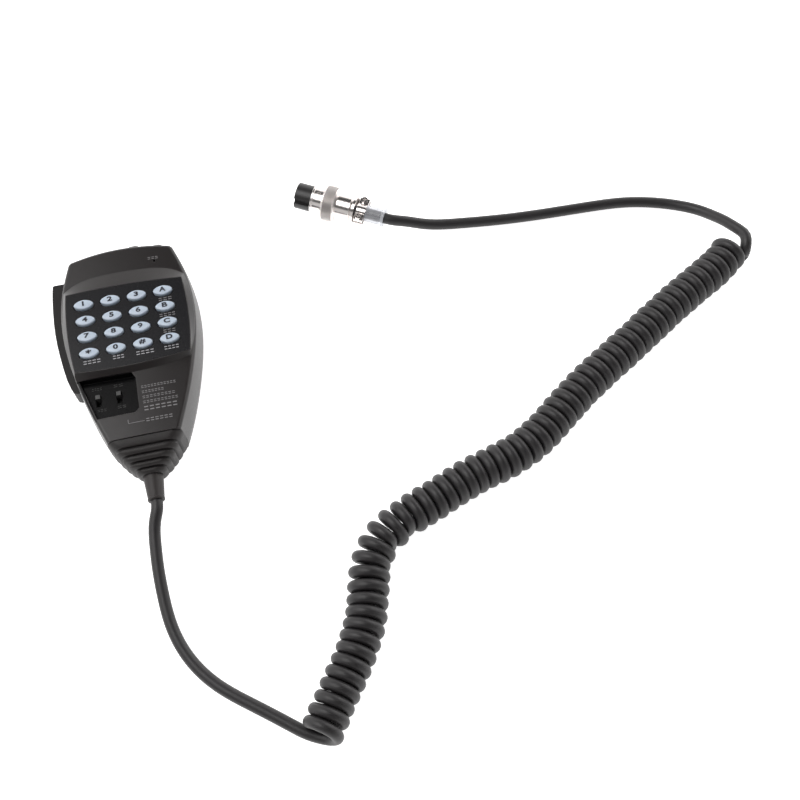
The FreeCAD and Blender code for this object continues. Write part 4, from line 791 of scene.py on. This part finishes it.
def build_boot():
    loops = [boot_loop(BOOT_PLATES[0][0], GROOVE + 2.0)]
    quarter = np.linspace(0, math.pi / 2, 6)
    for i, (y0, y1) in enumerate(BOOT_PLATES):
        first, last = i == 0, i == len(BOOT_PLATES) - 1
        r = FIRST_EDGE_R if first else PLATE_EDGE_R
        if not first:
            loops.append(boot_loop(y0 + 0.12, GROOVE))
            loops.append(boot_loop(y0 + 0.01, GROOVE - 0.15))
        for angle in quarter:
            loops.append(boot_loop(y0 - r * (1 - math.cos(angle)), r * (1 - math.sin(angle))))
        for share in (0.33, 0.66):
            loops.append(boot_loop(y0 + (y1 - y0) * share, -PLATE_BULGE))
        for angle in quarter[::-1]:
            loops.append(boot_loop(y1 + PLATE_EDGE_R * (1 - math.cos(angle)),
                                   PLATE_EDGE_R * (1 - math.sin(angle))))
        if not last:
            loops.append(boot_loop(y1 - 0.01, GROOVE - 0.15))
            loops.append(boot_loop(y1 - 0.12, GROOVE))
    # the end face runs in to a circle round the cord
    hole = []
    for x, y, z in loops[-1]:
        angle = math.atan2(z - CORD_EXIT_Z, x)
        hole.append((BOOT_HOLE_R * math.cos(angle), BOOT_PLATES[-1][1],
                     CORD_EXIT_Z + BOOT_HOLE_R * math.sin(angle)))
    loops.append(hole)
    boot = closed_skin("ribbed_boot", loops, BOOT, "handset")
    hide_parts("end_boot")


# ---------------------------------------------------------------- coupling ring
RING_X, RING_LENGTH = 14.5, 7.0  # along the plug's own X
CREST_R = 9.55
RIM_R = 9.22  # where the knurl fades out at either end
BORE_R = 8.0
LIP_R = 7.34
KNURL_DEPTH = 0.62
KNURL_FADE = 0.35
KNURLS, POINTS_PER_KNURL = 44, 10
KNURL_LEAD = 1.35  # length over which a groove moves round by one knurl
# Rounded outer edge, the same at both ends: distance in from the end, radius.
RING_EDGE = [(0.0, 8.95), (0.12, 9.1), (0.4, 9.18), (0.55, RIM_R)]


def plug_loop(x, radii):
    """A loop round the plug's axis at its own x, in the scene's frame."""
    c, s = math.cos(PLUG_TURN), math.sin(PLUG_TURN)
    loop = []
    for k, radius in enumerate(radii):
        angle = 2 * math.pi * k / len(radii)
        y, z = radius * math.cos(angle), radius * math.sin(angle)
        loop.append((PLUG_POS[0] + c * x - s * y, PLUG_POS[1] + s * x + c * y, PLUG_POS[2] + z))
    return loop


def zigzag(v):
    """A wave of period 1 between 0 and 1."""
    v = v - math.floor(v)
    return 1 - abs(2 * v - 1)


def build_coupling_ring():
    end = RING_X + RING_LENGTH
    around = KNURLS * POINTS_PER_KNURL
    verts, crests = [], []

    def add_turned(profile):
        for x, radius in profile:
            verts.extend(plug_loop(x, [radius] * around))
            crests.extend([1.0] * around)

    add_turned([(RING_X + 4.3, BORE_R), (RING_X + 0.35, BORE_R), (RING_X, 8.3)])
    add_turned([(RING_X + inward, radius) for inward, radius in RING_EDGE])
    for x in np.arange(RING_X + 0.75, RING_X + RING_LENGTH - 0.7, 0.15):
        full = min(1.0, (x - RING_X - 0.6) / KNURL_FADE, (end - 0.55 - x) / KNURL_FADE)
        radii = []
        for k in range(around):
            across = KNURLS * (k / around)
            height = min(zigzag(across + x / KNURL_LEAD), zigzag(across - x / KNURL_LEAD))
            crests.append(height * full + (1 - full))
            radii.append(CREST_R - KNURL_DEPTH * (1 - height) * full
                         - (CREST_R - RIM_R) * (1 - full))
        verts.extend(plug_loop(x, radii))
    add_turned([(end - inward, radius) for inward, radius in reversed(RING_EDGE)])
    add_turned([(end, 7.45), (end - 0.1, LIP_R), (end - 1.2, LIP_R), (end - 1.2, BORE_R)])

    faces = skin(len(verts) // around, around, wrap=True)
    ring = make("knurled_ring", verts, faces, KNURL, "ring", smooth=False)
    face_outward(ring)
    crest = ring.data.attributes.new("crest", "FLOAT", "POINT")
    crest.data.foreach_set("value", crests)
    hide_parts("coupling_ring")


# ----------------------------------------------------------------------- camera
CAMERA_POS = (69.39, -269.61, 479.0)
CAMERA_RIGHT = (0.9767, -0.2146, 0.0)
CAMERA_FORWARD = (0.0905, 0.4119, -0.9068)


def build_camera():
    data = bpy.data.cameras.new("camera")
    camera = bpy.data.objects.new("camera", data)
    scene.collection.objects.link(camera)
    forward = Vector(CAMERA_FORWARD).normalized()
    up = Vector(CAMERA_RIGHT).normalized().cross(forward).normalized()
    right = forward.cross(up).normalized()
    turn = Matrix((right, up, -forward)).transposed()
    camera.matrix_world = Matrix.Translation(Vector(CAMERA_POS) * MM) @ turn.to_4x4()
    data.sensor_width = 36.0
    data.lens = 49.905
    data.clip_start = 0.01
    scene.camera = camera


# ------------------------------------------------- floor and lights, in metres
def build_floor():
    bpy.ops.mesh.primitive_plane_add(size=6.0, location=(0.1, -0.05, -0.0003))
    floor = bpy.context.object
    floor.name = "floor"
    material, shader = new_material("floor_mat")
    feed(material.node_tree, shader, {
        "Base Color": (0.75, 0.75, 0.75, 1),
        "Roughness": 0.9,
        "Specular IOR Level": 0.1,
        "Emission Color": (1, 1, 1, 1),
        "Emission Strength": 0.92,
    })
    floor.data.materials.append(material)


def build_world():
    """A studio: dim ceiling, white backdrop brightest towards +Y, and two soft glows."""
    world = bpy.data.worlds.new("studio")
    scene.world = world
    world.use_nodes = True
    tree = world.node_tree
    tree.nodes.clear()
    output = add_node(tree, "ShaderNodeOutputWorld")
    background = add_node(tree, "ShaderNodeBackground", {"Color": (1.0, 0.985, 0.98, 1)})
    view = add_node(tree, "ShaderNodeTexCoord").outputs["Generated"]
    split = add_node(tree, "ShaderNodeSeparateXYZ", {0: view})

    def ramp(value, source, target):
        return map_range(tree, value, source, target, interpolation_type="SMOOTHSTEP")

    def glow(direction, source, strength):
        """A soft spot; source is the cosine at its outer and at its inner edge."""
        facing = dot_product(tree, view, Vector(direction).normalized())
        return ramp(facing, source=source, target=(0.0, strength))

    below_ceiling = ramp(split.outputs["Z"], source=(0.50, 0.68), target=(1.0, 0.0))
    front_to_back = ramp(split.outputs["Y"], source=(-0.4, 0.6), target=(0.55, 1.35))
    total = calculate(tree, "MULTIPLY", below_ceiling, front_to_back)
    high_left = glow(direction=(-0.5, 0.15, 0.853), source=(0.875, 0.96), strength=2.7)
    back_right = glow(direction=(0.75, 0.45, 0.48), source=(0.88, 0.97), strength=1.6)
    ambient = 0.07
    for part in (high_left, back_right, ambient):
        total = calculate(tree, "ADD", total, part)
    feed(tree, background, {"Strength": total})
    feed(tree, output, {0: background.outputs[0]})


def build_softbox():
    place, target = Vector((-0.35, 0.1, 1.2)), Vector((0.1, -0.05, 0.0))
    light = bpy.data.lights.new("softbox_high", "AREA")
    light.shape = "RECTANGLE"
    light.size = light.size_y = 0.7
    light.energy = 2.5
    softbox = bpy.data.objects.new("softbox_high", light)
    scene.collection.objects.link(softbox)
    softbox.location = place
    softbox.rotation_euler = (target - place).to_track_quat("-Z", "Y").to_euler()


# ------------------------------------------------------------------------ build
paint_cad_pieces()
build_cord()
for marks in MARKS:
    build_marks(**marks)
for key in KEYS:
    build_legend(key)
for key in KEYS:
    build_key(key)
for button in ("up_button", "down_button"):
    build_button(button)
build_boot()
build_coupling_ring()
build_camera()
build_floor()
build_world()
build_softbox()
scene.view_settings.view_transform = "Standard"
scene.view_settings.look = "None"
